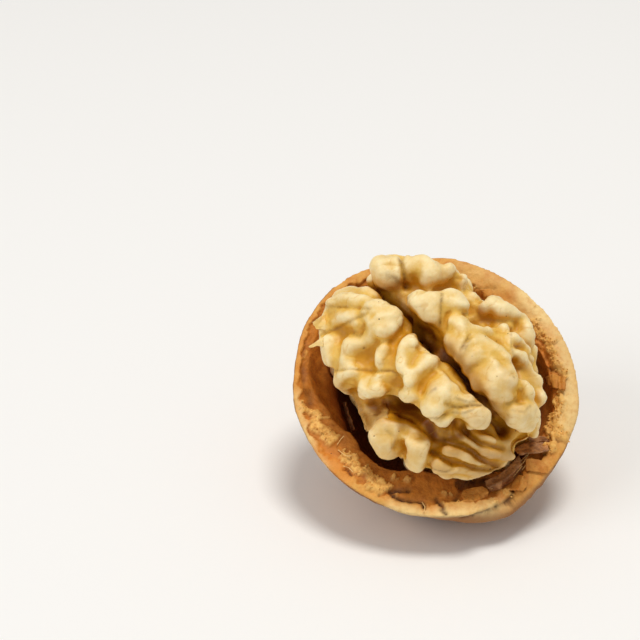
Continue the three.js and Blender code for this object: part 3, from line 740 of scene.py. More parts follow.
def shelter(points, facing, tree, reach):
    """How shut in each point is: the share of rays out of it that meet something within reach."""
    golden = math.pi * (3 - math.sqrt(5))
    heights = [1 - 2 * (i + 0.5) / SHELTER_RAYS for i in range(SHELTER_RAYS)]
    across = [math.sqrt(1 - height * height) for height in heights]
    fan = [
        Vector((wide * math.cos(golden * i), wide * math.sin(golden * i), height))
        for i, (wide, height) in enumerate(zip(across, heights))
    ]
    shut = np.zeros(len(points))
    for i, (point, normal) in enumerate(zip(points, facing)):
        out = Vector(normal)
        start = Vector(point) + out * SHELTER_START * MM
        met = 0.0
        total = 0.0
        for direction in fan:
            slant = direction.dot(out)
            if slant > SHELTER_SLANT:
                total += slant
                met += slant * bool(tree.ray_cast(start, direction, reach * MM)[0])
        shut[i] = met / max(total, 1e-6)
    return shut


kernel_places = places(kernel)
kernel_normals = normals(kernel)
smooth = averaged(kernel, kernel_places, SMOOTH_ROUNDS)
bowl = np.einsum("ij,ij->i", smooth - kernel_places, kernel_normals) / MM
shut_in = shelter(kernel_places, kernel_normals, tree_of(kernel), SHELTER_REACH)
shut_in = averaged(kernel, shut_in, rounds=3)
# crest makes the skin pale, partly as painted highlight; hollow makes it ochre, partly as painted shade;
# shut_in makes it ochre to brown as painted shade, except in the golden places that hold it back
keep(kernel, "crest", eased(-bowl, *CREST_RANGE))
keep(kernel, "hollow", eased(bowl, *HOLLOW_RANGE))
keep(kernel, "shut_in", shut_in * (1 - marked(kernel, SHADE_LIFTED)))
keep(kernel, "vein", marked(kernel, VEINS))
keep(kernel, "stain_and_shade", marked(kernel, STAINS_AND_SHADE))
print("deepest hollow", round(bowl.max(), 2), "mm; most shut in", round(shut_in.max(), 2))

# %% [markdown]
# The colours are worked out by shader nodes. A material reads the numbers that the vertices keep, and mixes
# its colours by them, one layer over the other, as a painter glazes. These helpers each put one node in a
# material: a mix of two colours, a range of values mapped to another, a sum, a stored number, a relief.

# %% Nodes for materials
def linked(tree, socket, source):
    """Feeds a socket from another socket, or sets it to a plain value."""
    if isinstance(source, bpy.types.NodeSocket):
        tree.links.new(source, socket)
    else:
        socket.default_value = source


def mixed(tree, share, low, high):
    """One colour where share is 0 and the other where it is 1."""
    made = tree.nodes.new("ShaderNodeMix")
    made.data_type = "RGBA"
    linked(tree, made.inputs["Factor"], share)
    linked(tree, made.inputs[6], low)
    linked(tree, made.inputs[7], high)
    return made.outputs[2]


def fitted(tree, value, low, high, to_low=0.0, to_high=1.0):
    """Maps a range of values to another, with soft ends."""
    made = tree.nodes.new("ShaderNodeMapRange")
    made.interpolation_type = "SMOOTHSTEP"
    linked(tree, made.inputs["Value"], value)
    for name, number in {"From Min": low, "From Max": high, "To Min": to_low, "To Max": to_high}.items():
        made.inputs[name].default_value = number
    return made.outputs["Result"]


def combined(tree, operation, one, other):
    """Two values added, multiplied or the like."""
    made = tree.nodes.new("ShaderNodeMath")
    made.operation = operation
    linked(tree, made.inputs[0], one)
    linked(tree, made.inputs[1], other)
    return made.outputs["Value"]


def stored(tree, name):
    """The number that each vertex keeps under this name."""
    made = tree.nodes.new("ShaderNodeAttribute")
    made.attribute_name = name
    return made.outputs["Fac"]


def bumped(tree, shader, height, distance):
    """Feeds the shader's normal with a relief of this depth in millimetres."""
    made = tree.nodes.new("ShaderNodeBump")
    made.inputs["Distance"].default_value = distance * MM
    made.inputs["Strength"].default_value = 1.0
    tree.links.new(height, made.inputs["Height"])
    tree.links.new(made.outputs["Normal"], shader.inputs["Normal"])


# %% [markdown]
# Three effects serve more than one material, so each is a node group: small dark specks, a fine uneven
# grain that tilts the light, and soft clouds that mottle the colours. Their sizes are in millimetres, and
# they lie on the piece's own coordinates, so they stay put when the piece moves.

# %% Shared effects
NUMBER = "NodeSocketFloat"


def effect(name, inputs, output):
    """A new node group with these inputs and one output; gives its tree, inputs and output."""
    tree = bpy.data.node_groups.new(name, "ShaderNodeTree")
    for label, value in inputs.items():
        socket = tree.interface.new_socket(label, in_out="INPUT", socket_type=NUMBER)
        socket.default_value = value
    tree.interface.new_socket(output, in_out="OUTPUT", socket_type=NUMBER)
    ins = tree.nodes.new("NodeGroupInput")
    outs = tree.nodes.new("NodeGroupOutput")
    return tree, ins.outputs, outs.inputs[output]


def placed(tree, group, **values):
    """Puts a shared effect in a material with its own values."""
    made = tree.nodes.new("ShaderNodeGroup")
    made.node_tree = group
    for label, value in values.items():
        made.inputs[label.capitalize()].default_value = value
    return made.outputs[0]


def textured(tree, kind, size):
    """A texture on the piece's own coordinates, in cells or lumps of this size."""
    where = tree.nodes.new("ShaderNodeTexCoord")
    texture = tree.nodes.new(kind)
    tree.links.new(where.outputs["Object"], texture.inputs["Vector"])
    tree.links.new(combined(tree, "DIVIDE", 1 / MM, size), texture.inputs["Scale"])
    return texture


specks, wanted, mask = effect("specks", {"Size": 0.1, "Spread": 1.5}, "Mask")
cells = textured(specks, "ShaderNodeTexVoronoi", wanted["Spread"])
cell_colour = specks.nodes.new("ShaderNodeSeparateColor")
specks.links.new(cells.outputs["Color"], cell_colour.inputs["Color"])
reach = combined(specks, "DIVIDE", wanted["Size"], wanted["Spread"])
dots = fitted(specks, combined(specks, "DIVIDE", cells.outputs["Distance"], reach), 0.4, 1.0, 1.0, 0.0)
some_cells = fitted(specks, cell_colour.outputs["Red"], 0.6, 0.8)
specks.links.new(combined(specks, "MULTIPLY", dots, some_cells), mask)

grain, wanted, height = effect("grain", {"Size": 0.5, "Depth": 0.05}, "Height")
lumps = textured(grain, "ShaderNodeTexNoise", wanted["Size"])
lumps.inputs["Detail"].default_value = 4.0
grain.links.new(combined(grain, "MULTIPLY", lumps.outputs["Fac"], wanted["Depth"]), height)

mottle, wanted, value = effect("mottle", {"Size": 2.0, "Detail": 4.0, "Roughness": 0.55}, "Value")
lumps = textured(mottle, "ShaderNodeTexNoise", wanted["Size"])
mottle.links.new(wanted["Detail"], lumps.inputs["Detail"])
mottle.links.new(wanted["Roughness"], lumps.inputs["Roughness"])
mottle.links.new(lumps.outputs["Fac"], value)


def clouds(tree, size, detail=4.0, roughness=0.55):
    """Puts the mottling in a material: soft noise from 0 to 1, in lumps of this size."""
    return placed(tree, mottle, size=size, detail=detail, roughness=roughness)


print("shared effects:", specks.name, grain.name, mottle.name)

# %% [markdown]
# The kernel's skin is thin and waxy. Its colour runs from ivory on the crests over ochre in the hollows to
# brown in the fissures: partly the skin's own tones, and partly painted highlight on the crests and painted
# shade in the hollows and fissures. Light enters it a little, so it has some subsurface scattering.

# %% Kernel skin
IVORY = paint(253, 234, 184)
CREAM = paint(231, 186, 88)
OCHRE = paint(204, 142, 26)
BROWN = paint(126, 66, 8)
VEIN = paint(104, 60, 20)
SPECK = paint(84, 48, 20)

skin, tree, shader = shader_of("kernel skin")
patches = fitted(tree, clouds(tree, 2.4, 6.0, 0.7), 0.3, 0.7, 0.0, 0.5)
# Pale crests: partly the skin's own paler tone, partly a painted highlight where crests catch the light
crest = combined(tree, "SUBTRACT", stored(tree, "crest"), patches)
colour = mixed(tree, crest, CREAM, IVORY)
# Ochre in hollows, shut-in places and under strokes: partly the skin's own tone, partly painted shade
hollow_tone_and_shade = fitted(tree, stored(tree, "hollow"), 0.25, 1.0, 0.0, 0.95)
shelter_shade = fitted(tree, stored(tree, "shut_in"), 0.2, 0.6)
stain_and_shade = stored(tree, "stain_and_shade")
ochre_share = combined(tree, "MAXIMUM", combined(tree, "MAXIMUM", hollow_tone_and_shade, shelter_shade), stain_and_shade)
colour = mixed(tree, ochre_share, colour, OCHRE)
# Brown where the skin is most shut in and under the strongest strokes: painted shade, with some of the
# fissures' own brown
deep_shelter_shade = fitted(tree, stored(tree, "shut_in"), 0.55, 0.92)
brown_share = combined(tree, "MAXIMUM", deep_shelter_shade, fitted(tree, stain_and_shade, 0.4, 1.1))
colour = mixed(tree, brown_share, colour, BROWN)
uneven = fitted(tree, clouds(tree, 0.9, 3.0), 0.3, 0.65, 0.3, 0.9)
colour = mixed(tree, combined(tree, "MULTIPLY", stored(tree, "vein"), uneven), colour, VEIN)
colour = mixed(tree, fitted(tree, stored(tree, "wrinkle"), 0.3, 1.0, 0.0, 0.35), colour, OCHRE)
colour = mixed(tree, placed(tree, specks, size=0.13, spread=1.5), colour, SPECK)
tree.links.new(colour, shader.inputs["Base Color"])
shader.inputs["Roughness"].default_value = 0.42
shader.inputs["Specular IOR Level"].default_value = 0.3
shader.inputs["Subsurface Weight"].default_value = 0.04
shader.inputs["Subsurface Radius"].default_value = (1.0, 0.5, 0.2)
shader.inputs["Subsurface Scale"].default_value = 0.8 * MM
bumped(tree, shader, placed(tree, grain, size=0.45, depth=1.0), 0.07)
kernel.data.materials.append(skin)
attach(kernel, "root")
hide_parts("kernel")

# %% [markdown]
# The shell has three kinds of surface: the furrowed outside, the face along the seam where the other half
# came away, and the smooth inside. Each vertex learns which it is from its place in the nut's frame, before
# the fine relief blurs that: the angle round the rim, how far in from the rim's edge it lies, and which
# way it faces. The outside is then smoothed, as a bed for its furrows.

# %% The shell's zones
SHELL_SKIN = 0.245      # face size in millimetres
EDGE_HEIGHT = -3.5      # the rim's edge is looked for above this height
EDGE_STEP = 3           # degrees from one place where the edge is measured to the next
EDGE_WINDOW = 2         # degrees to either side that count there
RIM_FACING = (0.35, 0.6)
RIM_HEIGHT = (-5.0, -4.0)
INSIDE_FACING = (0.1, -0.1)
OUTSIDE_SMOOTH = 0.75

shell = clay_from("shell", "walnut_shell")
remeshed(shell, SHELL_SKIN)
relaxed(shell, rounds=3, share=0.8)

nut = in_nut(places(shell))
facing = averaged(shell, normals(shell), rounds=3) @ np.array(TURN)
around = np.degrees(np.arctan2(nut[:, 1], nut[:, 0])) % 360
radius = np.hypot(nut[:, 0], nut[:, 1])


def turned_from(angle):
    """How far round the rim each vertex lies from an angle, in degrees."""
    return np.abs((around - angle + 180) % 360 - 180)


near_top = nut[:, 2] > EDGE_HEIGHT
steps = np.arange(0, 361, EDGE_STEP)
edge = [radius[near_top & (turned_from(step) < EDGE_WINDOW)].max() for step in steps]
inset = np.interp(around, steps, edge) - radius
outward = np.einsum("ij,ij->i", facing, nut / np.linalg.norm(nut, axis=1)[:, None])
rim = eased(facing[:, 2], *RIM_FACING) * eased(nut[:, 2], *RIM_HEIGHT)
inside = (1 - rim) * eased(outward, *INSIDE_FACING)
outside = (1 - rim) * (1 - inside)
relaxed(shell, rounds=40, share=OUTSIDE_SMOOTH * outside[:, None])
print("shell skin:", len(shell.data.polygons), "faces; rim share", round(rim.mean(), 2))

# %% [markdown]
# On the side towards the viewer a ledge of torn tissue reaches in from the rim, nearly to the kernel, with
# a bay round the two curls. The face is moved inwards there, more the further in it lies, so that the rim's
# outer edge stays in place. At the lower left the edge itself is moved out a little, and under the rim at
# the stem end the outer wall bulges. All three are given by tables of angles round the rim and millimetres.
# What then comes too close to the kernel is moved back from it.

# %% The shell's ledge
LEDGE = [
    (0, 0.8), (30, 0.5), (70, 0), (150, 0), (190, 1.2), (225, 2.2), (247, 3.0), (262, 1.9),
    (275, 0.4), (288, 0.2), (298, 0.9), (307, 2.0), (320, 2.0), (345, 1.2), (360, 0.8),
]
BULGE = [(0, 1.0), (12, 0.5), (25, 0), (312, 0), (325, 0.6), (338, 1.5), (350, 1.6), (360, 1.0)]
WIDER = [(0, 0), (225, 0), (245, 0.7), (270, 0.75), (290, 0.7), (310, 0.4), (325, 0), (360, 0)]
LEDGE_INSET = (1.5, 4.5)        # from the rim's edge, where the ledge sets in
LEDGE_HEIGHT = (-12.0, -4.0)    # over the seam's plane, and likewise for the others
BULGE_FOOT = (-11.0, -6.0)
BULGE_TOP = (-1.0, -3.0)
WIDER_INSET = (3.0, 0.5)
WIDER_HEIGHT = (-9.0, -3.0)
CLEAR = 0.2                     # least gap to the kernel
CLEAR_SEARCH = 2                # how far round a vertex the kernel is looked for

reach_in = read_off(LEDGE, around) * np.clip(rim + inside, 0, 1)
reach_in *= eased(inset, *LEDGE_INSET) * eased(nut[:, 2], *LEDGE_HEIGHT)
bulge_out = read_off(BULGE, around) * outside * eased(nut[:, 2], *BULGE_TOP)
bulge_out *= eased(nut[:, 2], *BULGE_FOOT)
bulge_out += read_off(WIDER, around) * eased(inset, *WIDER_INSET) * eased(nut[:, 2], *WIDER_HEIGHT)
nut[:, :2] *= (1 - (reach_in - bulge_out) / np.maximum(radius, 1))[:, None]
put(shell, in_world(nut))


def kept_clear(piece, other, gap):
    """Moves what comes closer than this gap, in millimetres, to the other piece back out of it."""
    tree = tree_of(other)
    points = places(piece)
    for i, point in enumerate(points):
        near, normal, _, _ = tree.find_nearest(Vector(point), CLEAR_SEARCH * MM)
        if near is not None and (Vector(point) - near).dot(normal) < gap * MM:
            points[i] = np.array(near + normal * gap * MM)
    put(piece, points)


kept_clear(shell, kernel, CLEAR)

# %% [markdown]
# The outside is wrinkled along the nut: furrows that run like meridians from the tip to the stem end, a
# finer net of lines between them, and small pits. Strokes would only reach the side that the picture
# shows, so noise makes them, stretched along the nut. What would sink below the floor stops at it.

# %% The shell's outside
FURROW_ALONG = 0.35     # the smaller, the longer the furrows
FURROW_ROUND = 11       # the larger, the closer together they lie
FURROW_WANDER = 0.6
FURROW_DEPTH = 0.42     # millimetres, like the next four
LINE_DEPTH = 0.15
PIT_DEPTH = 0.22
OUTSIDE_ROUGH = 0.1
OUTSIDE_WAVES = 0.2
STEM_SIDE = 345         # the angle round the rim of the dark place at the stem end
STEM_SPREAD = (45, 20)  # degrees to either side
STEM_HEIGHT = (-9.0, -5.0)
SEAM_HEIGHT = (-2.2, -1.0)
FURROW_SHADE = 0.7      # how dark furrows, lines and the stem end are
LINE_SHADE = 0.45
STEM_SHADE = 0.7

nut = in_nut(places(shell))
turn = nut[:, 1:] / np.maximum(np.linalg.norm(nut[:, 1:], axis=1), 2.0)[:, None]
along = np.column_stack((FURROW_ALONG * nut[:, 0], FURROW_ROUND * turn))
along = along + FURROW_WANDER * rough(nut, 4.0, 3.3, 1)[:, None]
furrows = ridges(along, 4.6, 6.4) ** 3
lines = ridges(along, 1.9, 1.7) ** 4 * eased(rough(nut, 3.0, 71.0, 1), -0.2, 0.3)
pits = eased(rough(nut * (0.7, 1, 1), 0.9, 12.4, 2), 0.55, 0.75)
depth = FURROW_DEPTH * furrows + LINE_DEPTH * lines + PIT_DEPTH * pits
relief = -outside * depth * eased(inset, 0.0, 2.0)
relief += outside * (OUTSIDE_ROUGH * rough(nut, 2.4, 14.8) + OUTSIDE_WAVES * rough(along, 3.6, 44.0, 1))
raised(shell, relief)
on_floor = places(shell)
on_floor[:, 2] = np.maximum(on_floor[:, 2], 0)
put(shell, on_floor)
keep(shell, "furrow", outside * np.clip(FURROW_SHADE * furrows + LINE_SHADE * lines, 0, 1))
keep(shell, "pit", outside * pits)
at_stem = eased(turned_from(STEM_SIDE), *STEM_SPREAD) * eased(nut[:, 2], *STEM_HEIGHT)
keep(shell, "seam", outside * np.maximum(eased(nut[:, 2], *SEAM_HEIGHT), STEM_SHADE * at_stem))
print("deepest furrow", round(-relief.min(), 2), "mm")

# %% [markdown]
# The seam's face has a smooth pale band along its edge. Further in, the tissue has been torn away along a
# ragged line, which bares the orange-brown layer below it, and what stayed stands up in crumbly patches
# with steep edges. Thin cracks run through both, and at the stem end a hole opens beside a loose plate.
# The cracks' dark colour also paints the hole and the cavity under the lip at the upper right, as painted
# shade. What the picture shows of these is drawn in strokes, and a table gives how far in the tear lies.

# %% The shell's face
TEAR_INSET = [
    (0, 1.8), (20, 2.0), (50, 2.3), (75, 3.0), (100, 3.6), (150, 2.0),
    (200, 0.8), (240, 0.7), (280, 1.1), (320, 1.5), (360, 1.8),
]
CRUMBS = [
    (1.5, 1.0, [(316, 427), (330, 437)]),
    (1.4, 1.0, [(350, 456), (362, 470), (382, 486)]),
    (0.9, 0.8, [(345, 450), (350, 462)]),
    (1.3, 0.6, [(390, 473), (404, 479)]),
    (0.9, 1.0, [(536, 324), (546, 342), (555, 358), (566, 374)]),
    (1.1, 0.9, [(561, 394), (557, 410), (551, 428)]),
    (1.4, 0.9, [(550, 446), (562, 434)]),
    (1.0, 0.7, [(306, 408), (322, 417)]),
    (1.0, 0.6, [(436, 492), (452, 492)]),
    (0.9, 0.6, [(494, 500), (508, 493)]),
]
# Most are real cracks. The first paints the hole at the stem end dark, and the last the cavity under the
# upper-right lip: painted shade.
CRACKS_AND_SHADE = [
    (0.8, 1.0, [(461, 483), (473, 483), (487, 482)]),
    (0.32, 1.4, [(390, 491), (398, 489), (409, 489)]),
    (0.32, 1.4, [(390, 491), (395, 497), (404, 500), (416, 501), (423, 502), (424, 507)]),
    (0.3, 1.2, [(436, 498), (441, 504), (443, 508)]),
    (0.3, 1.2, [(442, 510), (446, 514)]),
    (0.4, 0.9, [(462, 486), (459, 493), (455, 499)]),
    (0.3, 1.0, [(487, 489), (484, 493)]),
    (0.3, 1.0, [(513, 489), (511, 497), (503, 504), (490, 510), (474, 515), (462, 518)]),
    (0.26, 0.9, [(546, 369), (556, 369), (563, 370)]),
    (0.25, 0.9, [(348, 468), (351, 474)]),
    (0.3, 0.5, [(306, 340), (303, 360), (305, 385), (310, 405)]),
    (0.5, 0.6, [(311, 390), (310, 402)]),
    (0.3, 0.4, [(468, 282), (480, 289), (494, 288)]),
    (0.45, 1.0, [(468, 305), (478, 306), (487, 302)]),
]
PALE = [
    (2.0, 1.0, [(526, 294), (543, 317), (555, 339), (563, 361), (568, 385), (570, 405), (566, 424)]),
    (1.1, 0.8, [(335, 480), (360, 498), (390, 509), (420, 514), (450, 515), (480, 511), (500, 503)]),
    (0.7, 0.7, [(298, 395), (304, 424), (318, 453), (335, 480)]),
    (1.4, 0.35, [(462, 268), (490, 277), (520, 292)]),
    (1.0, 0.6, [(555, 435), (566, 430)]),
]
STRIPPED = [
    (0.9, 0.4, [(303, 338), (299, 360), (300, 390), (306, 418)]),
    (1.3, 1.0, [(321, 449), (332, 460), (345, 473)]),
    (1.6, 1.0, [(540, 338), (548, 358), (552, 376)]),
    (0.8, 0.6, [(404, 496), (420, 503), (432, 507)]),
    (1.0, 0.6, [(466, 492), (480, 494)]),
    (0.7, 0.6, [(498, 499), (510, 490)]),
    (0.8, 0.7, [(311, 384), (317, 402)]),
    (0.9, 0.5, [(476, 296), (488, 298), (508, 300)]),
]
HOLES = [(0.6, -1.6, [(464, 483), (474, 483), (485, 482)])]

# %% [markdown]
# Noise makes the tear ragged and the crumbs uneven, and spreads crumbs over the part of the face that lies
# hidden behind the kernel. The zones then raise or lower the skin by their heights, and the result is kept
# clear of the kernel, like the ledge. Each zone is stored, so that the finish can colour what was moved.

# %% Tearing the face
TEAR_WANDER = 0.9       # millimetres, like the next ones up to the hidden part
TEAR_SWAY = 0.5
TEAR_STEP = 0.25        # how wide the slope at the tear is
CRUMB_HEIGHT = 0.45
CRUMB_ROUGH = 0.4
LIP_HEIGHT = 0.15
TORN_DEPTH = 0.3
CRACK_DEPTH = 0.4
STRIPPED_DEPTH = 0.2
INSIDE_ROUGH = 0.1
LIP_PLACE = 0.15        # how far outside the tear its lip stands
LIP_WIDTH = 0.3
FACE_GRAIN = 0.08
FACE_WAVES = 0.12
HIDDEN_ACROSS = (2.0, 8.0)      # where the hidden part of the face sets in, across and along the nut
HIDDEN_ALONG = (2.0, -4.0)
HIDDEN_CRUMBS = 0.55            # how much of it crumbs cover
CRUMB_LEVEL = 0.55              # the share at which a patch is half covered
CRUMB_CONTRAST = 1.7            # and how fast that changes
# Over these heights the inside is painted darker, as painted shade deep in the cup
DEEP_HEIGHT = (-3.0, -11.0)     # over which the inside darkens

raised(shell, stroked(shell, HOLES))
nut = in_nut(places(shell))
face = np.clip(rim + inside * eased(nut[:, 2], -6.0, -4.0), 0, 1)
tear = read_off(TEAR_INSET, around)
tear += TEAR_WANDER * rough(nut, 1.6, 51.0) + TEAR_SWAY * rough(nut, 5.0, 57.0, 1)
torn = face * eased(inset - tear, 0.0, TEAR_STEP)
lip = face * np.exp(-(((inset - tear + LIP_PLACE) / LIP_WIDTH) ** 2))
hidden = eased(nut[:, 1], *HIDDEN_ACROSS) * eased(nut[:, 0], *HIDDEN_ALONG)
crumb_share = np.maximum(marked(shell, CRUMBS), HIDDEN_CRUMBS * hidden * torn)
crumb_level = rough(nut, 1.3, 21.3) + CRUMB_CONTRAST * (crumb_share - CRUMB_LEVEL)
crumbs = face * eased(crumb_level, 0.0, 0.12)
cracks_and_shade = marked(shell, CRACKS_AND_SHADE) * (0.6 + 0.4 * eased(rough(nut, 0.8, 61.0), -0.3, 0.3))
stripped = marked(shell, STRIPPED)
relief = crumbs * (CRUMB_HEIGHT + CRUMB_ROUGH * rough(nut, 0.7, 17.6)) + LIP_HEIGHT * lip
relief -= TORN_DEPTH * torn
relief -= CRACK_DEPTH * cracks_and_shade
uneven_face = face * (FACE_GRAIN * rough(nut, 0.9, 25.1) + FACE_WAVES * rough(nut, 3.0, 23.8))
relief += uneven_face - STRIPPED_DEPTH * stripped * rim
relief += inside * INSIDE_ROUGH * rough(nut * (1, 1, 0.3), 2.0, 33.0)
raised(shell, relief)
kept_clear(shell, kernel, CLEAR)
keep(shell, "rim", rim)
keep(shell, "inside", inside)
keep(shell, "crumb", crumbs)
keep(shell, "torn", torn)
keep(shell, "crack_and_shade", cracks_and_shade)
keep(shell, "pale", marked(shell, PALE) * (1 - torn))
keep(shell, "stripped", stripped)
keep(shell, "deep", eased(nut[:, 2], *DEEP_HEIGHT))
print("torn", round(torn.mean(), 3), "crumbs", round(crumbs.mean(), 3), "cracks_and_shade", round(cracks_and_shade.mean(), 3))

# %% [markdown]
# The shell's colours follow its zones: tan with darker furrows outside, straw on the rim with paler and
# stripped orange places, and red-brown inside, painted darker the deeper it goes, as painted shade.

# %% Shell finish
BAND = paint(224, 166, 80)
TISSUE = paint(206, 132, 50)
UMBER = paint(168, 98, 32)
STRAW = paint(247, 214, 146)
CRUMB = paint(240, 188, 102)
ORANGE = paint(222, 138, 50)
INSIDE = paint(168, 92, 36)
DEEP_SHADE = paint(146, 80, 34)
CRACK_AND_SHADE = paint(62, 30, 12)
TAN = paint(212, 162, 102)
BUFF = paint(194, 136, 78)
FURROW = paint(130, 80, 40)
PIT = paint(64, 38, 20)

wood, tree, shader = shader_of("shell")
patches = fitted(tree, clouds(tree, 5.0), 0.3, 0.7)
outer_colour = mixed(tree, patches, TAN, BUFF)
in_furrow = combined(tree, "MAXIMUM", stored(tree, "furrow"), stored(tree, "seam"))
outer_colour = mixed(tree, in_furrow, outer_colour, FURROW)
outer_colour = mixed(tree, stored(tree, "pit"), outer_colour, PIT)
# Inside: red-brown, painted darker towards the bottom of the cup as painted shade
inner_colour = mixed(tree, stored(tree, "deep"), INSIDE, DEEP_SHADE)
blotches = fitted(tree, clouds(tree, 1.6, 5.0, 0.65), 0.35, 0.7)
torn_colour = mixed(tree, blotches, TISSUE, UMBER)
colour = mixed(tree, stored(tree, "inside"), outer_colour, inner_colour)
colour = mixed(tree, stored(tree, "rim"), colour, mixed(tree, blotches, BAND, TISSUE))
streaks = fitted(tree, clouds(tree, 0.9, 4.0, 0.6), 0.25, 0.6, 0.5, 1.0)
colour = mixed(tree, combined(tree, "MULTIPLY", stored(tree, "pale"), streaks), colour, STRAW)
colour = mixed(tree, stored(tree, "torn"), colour, torn_colour)
colour = mixed(tree, combined(tree, "MULTIPLY", stored(tree, "stripped"), 0.8), colour, ORANGE)
crumbly = fitted(tree, clouds(tree, 0.6, 4.0), 0.3, 0.6, 0.3, 1.0)
colour = mixed(tree, combined(tree, "MULTIPLY", stored(tree, "crumb"), crumbly), colour, CRUMB)
# Dark cracks, and painted shade in the hole at the stem end and under the upper-right lip
colour = mixed(tree, combined(tree, "MULTIPLY", stored(tree, "crack_and_shade"), 0.9), colour, CRACK_AND_SHADE)
colour = mixed(tree, placed(tree, specks, size=0.1, spread=1.2), colour, PIT)
tree.links.new(colour, shader.inputs["Base Color"])
shader.inputs["Roughness"].default_value = 0.6
shader.inputs["Specular IOR Level"].default_value = 0.3
bumped(tree, shader, placed(tree, grain, size=0.4, depth=1.0), 0.12)
shell.data.materials.append(wood)
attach(shell, "root")
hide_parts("shell")

# %% [markdown]
# What hangs on the torn rim is thin: plates and flakes of shell that have come partly loose, and brown
# membranes that lay between the seed leaves. Each is a sheet through two or three rows of places, with a
# little wrinkling and thickness. A row lies on the nut under its pixels, lifted towards the camera, or at
# a level over the seam's plane where it hangs free. A simulation would drape cloth like this, but these
# scraps are dry and stiff, so their rows are given one by one.

# %% Sheets
SHEET_COLUMNS = 28
SHEET_ROWS = 10         # between one given row and the next
SHEET_AWAY = 0.26       # metres from the camera, where a first row meets nothing
EDGE_SWAY = 0.25        # how ragged a sheet's edges are, in millimetres
SWAY_COURSE = Vector((0.7, 0.7, 0))     # right and up in the picture
SEED_STEP = 7.7         # from one sheet to the next
TOWARDS = (camera.location - NUT_MIDDLE).normalized()


def resampled(line, count):
    """Points at even steps along a line through some points."""
    line = np.array(line, float)
    run = np.concatenate(([0], np.cumsum(np.linalg.norm(np.diff(line, axis=0), axis=1))))
    wanted = np.linspace(0, run[-1], count)
    return np.array([np.interp(wanted, run, column) for column in line.T]).T


def laid(row, tree, depth):
    """The places of a row's pixels, and how far from the camera they lie on the whole."""
    rays = [ray_through(pixel) for pixel in resampled(row["line"], SHEET_COLUMNS)]
    if "level" in row:
        up = TURN @ Vector((0, 0, 1))
        base = NUT_MIDDLE + up * row["level"] * MM
        away = [(base - start).dot(up) / direction.dot(up) for start, direction in rays]
    else:
        away = [tree.ray_cast(*ray)[3] for ray in rays]
        known = [far for far in away if far is not None]
        depth = float(np.median(known)) if known else depth
        away = [depth if far is None else far for far in away]
    lift = row.get("lift", 0) * MM
    points = [start + direction * (far - lift) for (start, direction), far in zip(rays, away)]
    return np.array(points), float(np.mean(away))


def sheet(rows, tree, wrinkle, seed):
    """The vertices and faces of a sheet through rows of places."""
    lines = []
    depth = SHEET_AWAY
    for row in rows:
        line, depth = laid(row, tree, depth)
        lines.append(line)
    grid = []
    for one, other in zip(lines, lines[1:]):
        grid += [one + share * (other - one) for share in np.linspace(0, 1, SHEET_ROWS, endpoint=False)]
    grid = np.array(grid + [lines[-1]])
    flat = grid.reshape(-1, 3)
    flat += np.array(TOWARDS) * (wrinkle * MM * rough(flat / MM, 1.2, seed))[:, None]
    edge_sway = EDGE_SWAY * MM * rough(flat / MM, 0.8, seed + 3.0)
    flat += np.array(camera.matrix_world.to_3x3() @ SWAY_COURSE) * edge_sway[:, None]
    width = SHEET_COLUMNS
    faces = [
        (r * width + c, r * width + c + 1, (r + 1) * width + c + 1, (r + 1) * width + c)
        for r in range(len(grid) - 1)
        for c in range(width - 1)
    ]
    return flat, faces


def piece_from(name, vertices, faces):
    """A new piece with these vertices and faces."""
    mesh = bpy.data.meshes.new(name)
    mesh.from_pydata(vertices, [], faces)
    piece = bpy.data.objects.new(name, mesh)
    bpy.context.scene.collection.objects.link(piece)
    return piece


def shaded_smooth(piece):
    piece.data.polygons.foreach_set("use_smooth", [True] * len(piece.data.polygons))


def keep_even(piece, name, value):
    """Stores the same number for every vertex."""
    keep(piece, name, np.full(len(piece.data.vertices), value))


def sheets(name, list_of_rows, tree, wrinkle, thickness, seed):
    """One piece made of several sheets."""
    vertices = []
    faces = []
    for number, rows in enumerate(list_of_rows):
        more, more_faces = sheet(rows, tree, wrinkle, seed + SEED_STEP * number)
        faces += [tuple(index + len(vertices) for index in face) for face in more_faces]
        vertices += [tuple(point) for point in more]
    piece = piece_from(name, vertices, faces)
    applied(piece, "SOLIDIFY", thickness=thickness * MM, offset=0.0)
    shaded_smooth(piece)
    return piece


# %% [markdown]
# Where the nut was prised open, plates of the rim have broken loose along cracks. Some hang over the gap at
# the stem end, one curls up beside it, and others stand off the inner wall. They are thicker than the
# membranes and have the shell's own finish, so that they look torn from it.

# %% Plates and flakes
PLATES = [
    [   # the plate over the gap at the stem end
        {"line": [(463, 491), (470, 488), (478, 487), (486, 489)], "level": -1.8},
        {"line": [(461, 495), (470, 495), (480, 495), (488, 493)], "level": -1.5},
        {"line": [(464, 501), (472, 502), (480, 500), (486, 497)], "lift": 0.1},
    ],
    [   # the flake that curls up beside it
        {"line": [(509, 490), (514, 482), (518, 474)], "lift": 0.0},
        {"line": [(517, 491), (522, 484), (523, 476)], "lift": 0.8},
        {"line": [(523, 491), (527, 485), (526, 479)], "lift": 0.4},
    ],
    [   # the flake on the right inner wall
        {"line": [(546, 377), (555, 374), (566, 378)], "lift": 0.05},
        {"line": [(548, 385), (556, 389), (565, 390)], "lift": 0.7},
    ],
    [   # the broken face beside the stem end
        {"line": [(526, 459), (533, 458), (544, 461)], "level": -1.0},
        {"line": [(527, 470), (537, 472), (548, 474)], "lift": 0.3},
    ],
    [   # the lip at the upper right
        {"line": [(462, 288), (474, 290), (492, 289)], "lift": 0.0},
        {"line": [(464, 296), (476, 299), (492, 296)], "lift": 0.5},
        {"line": [(466, 301), (477, 304), (489, 300)], "lift": 0.6},
    ],
]
shell_tree = tree_of(shell)
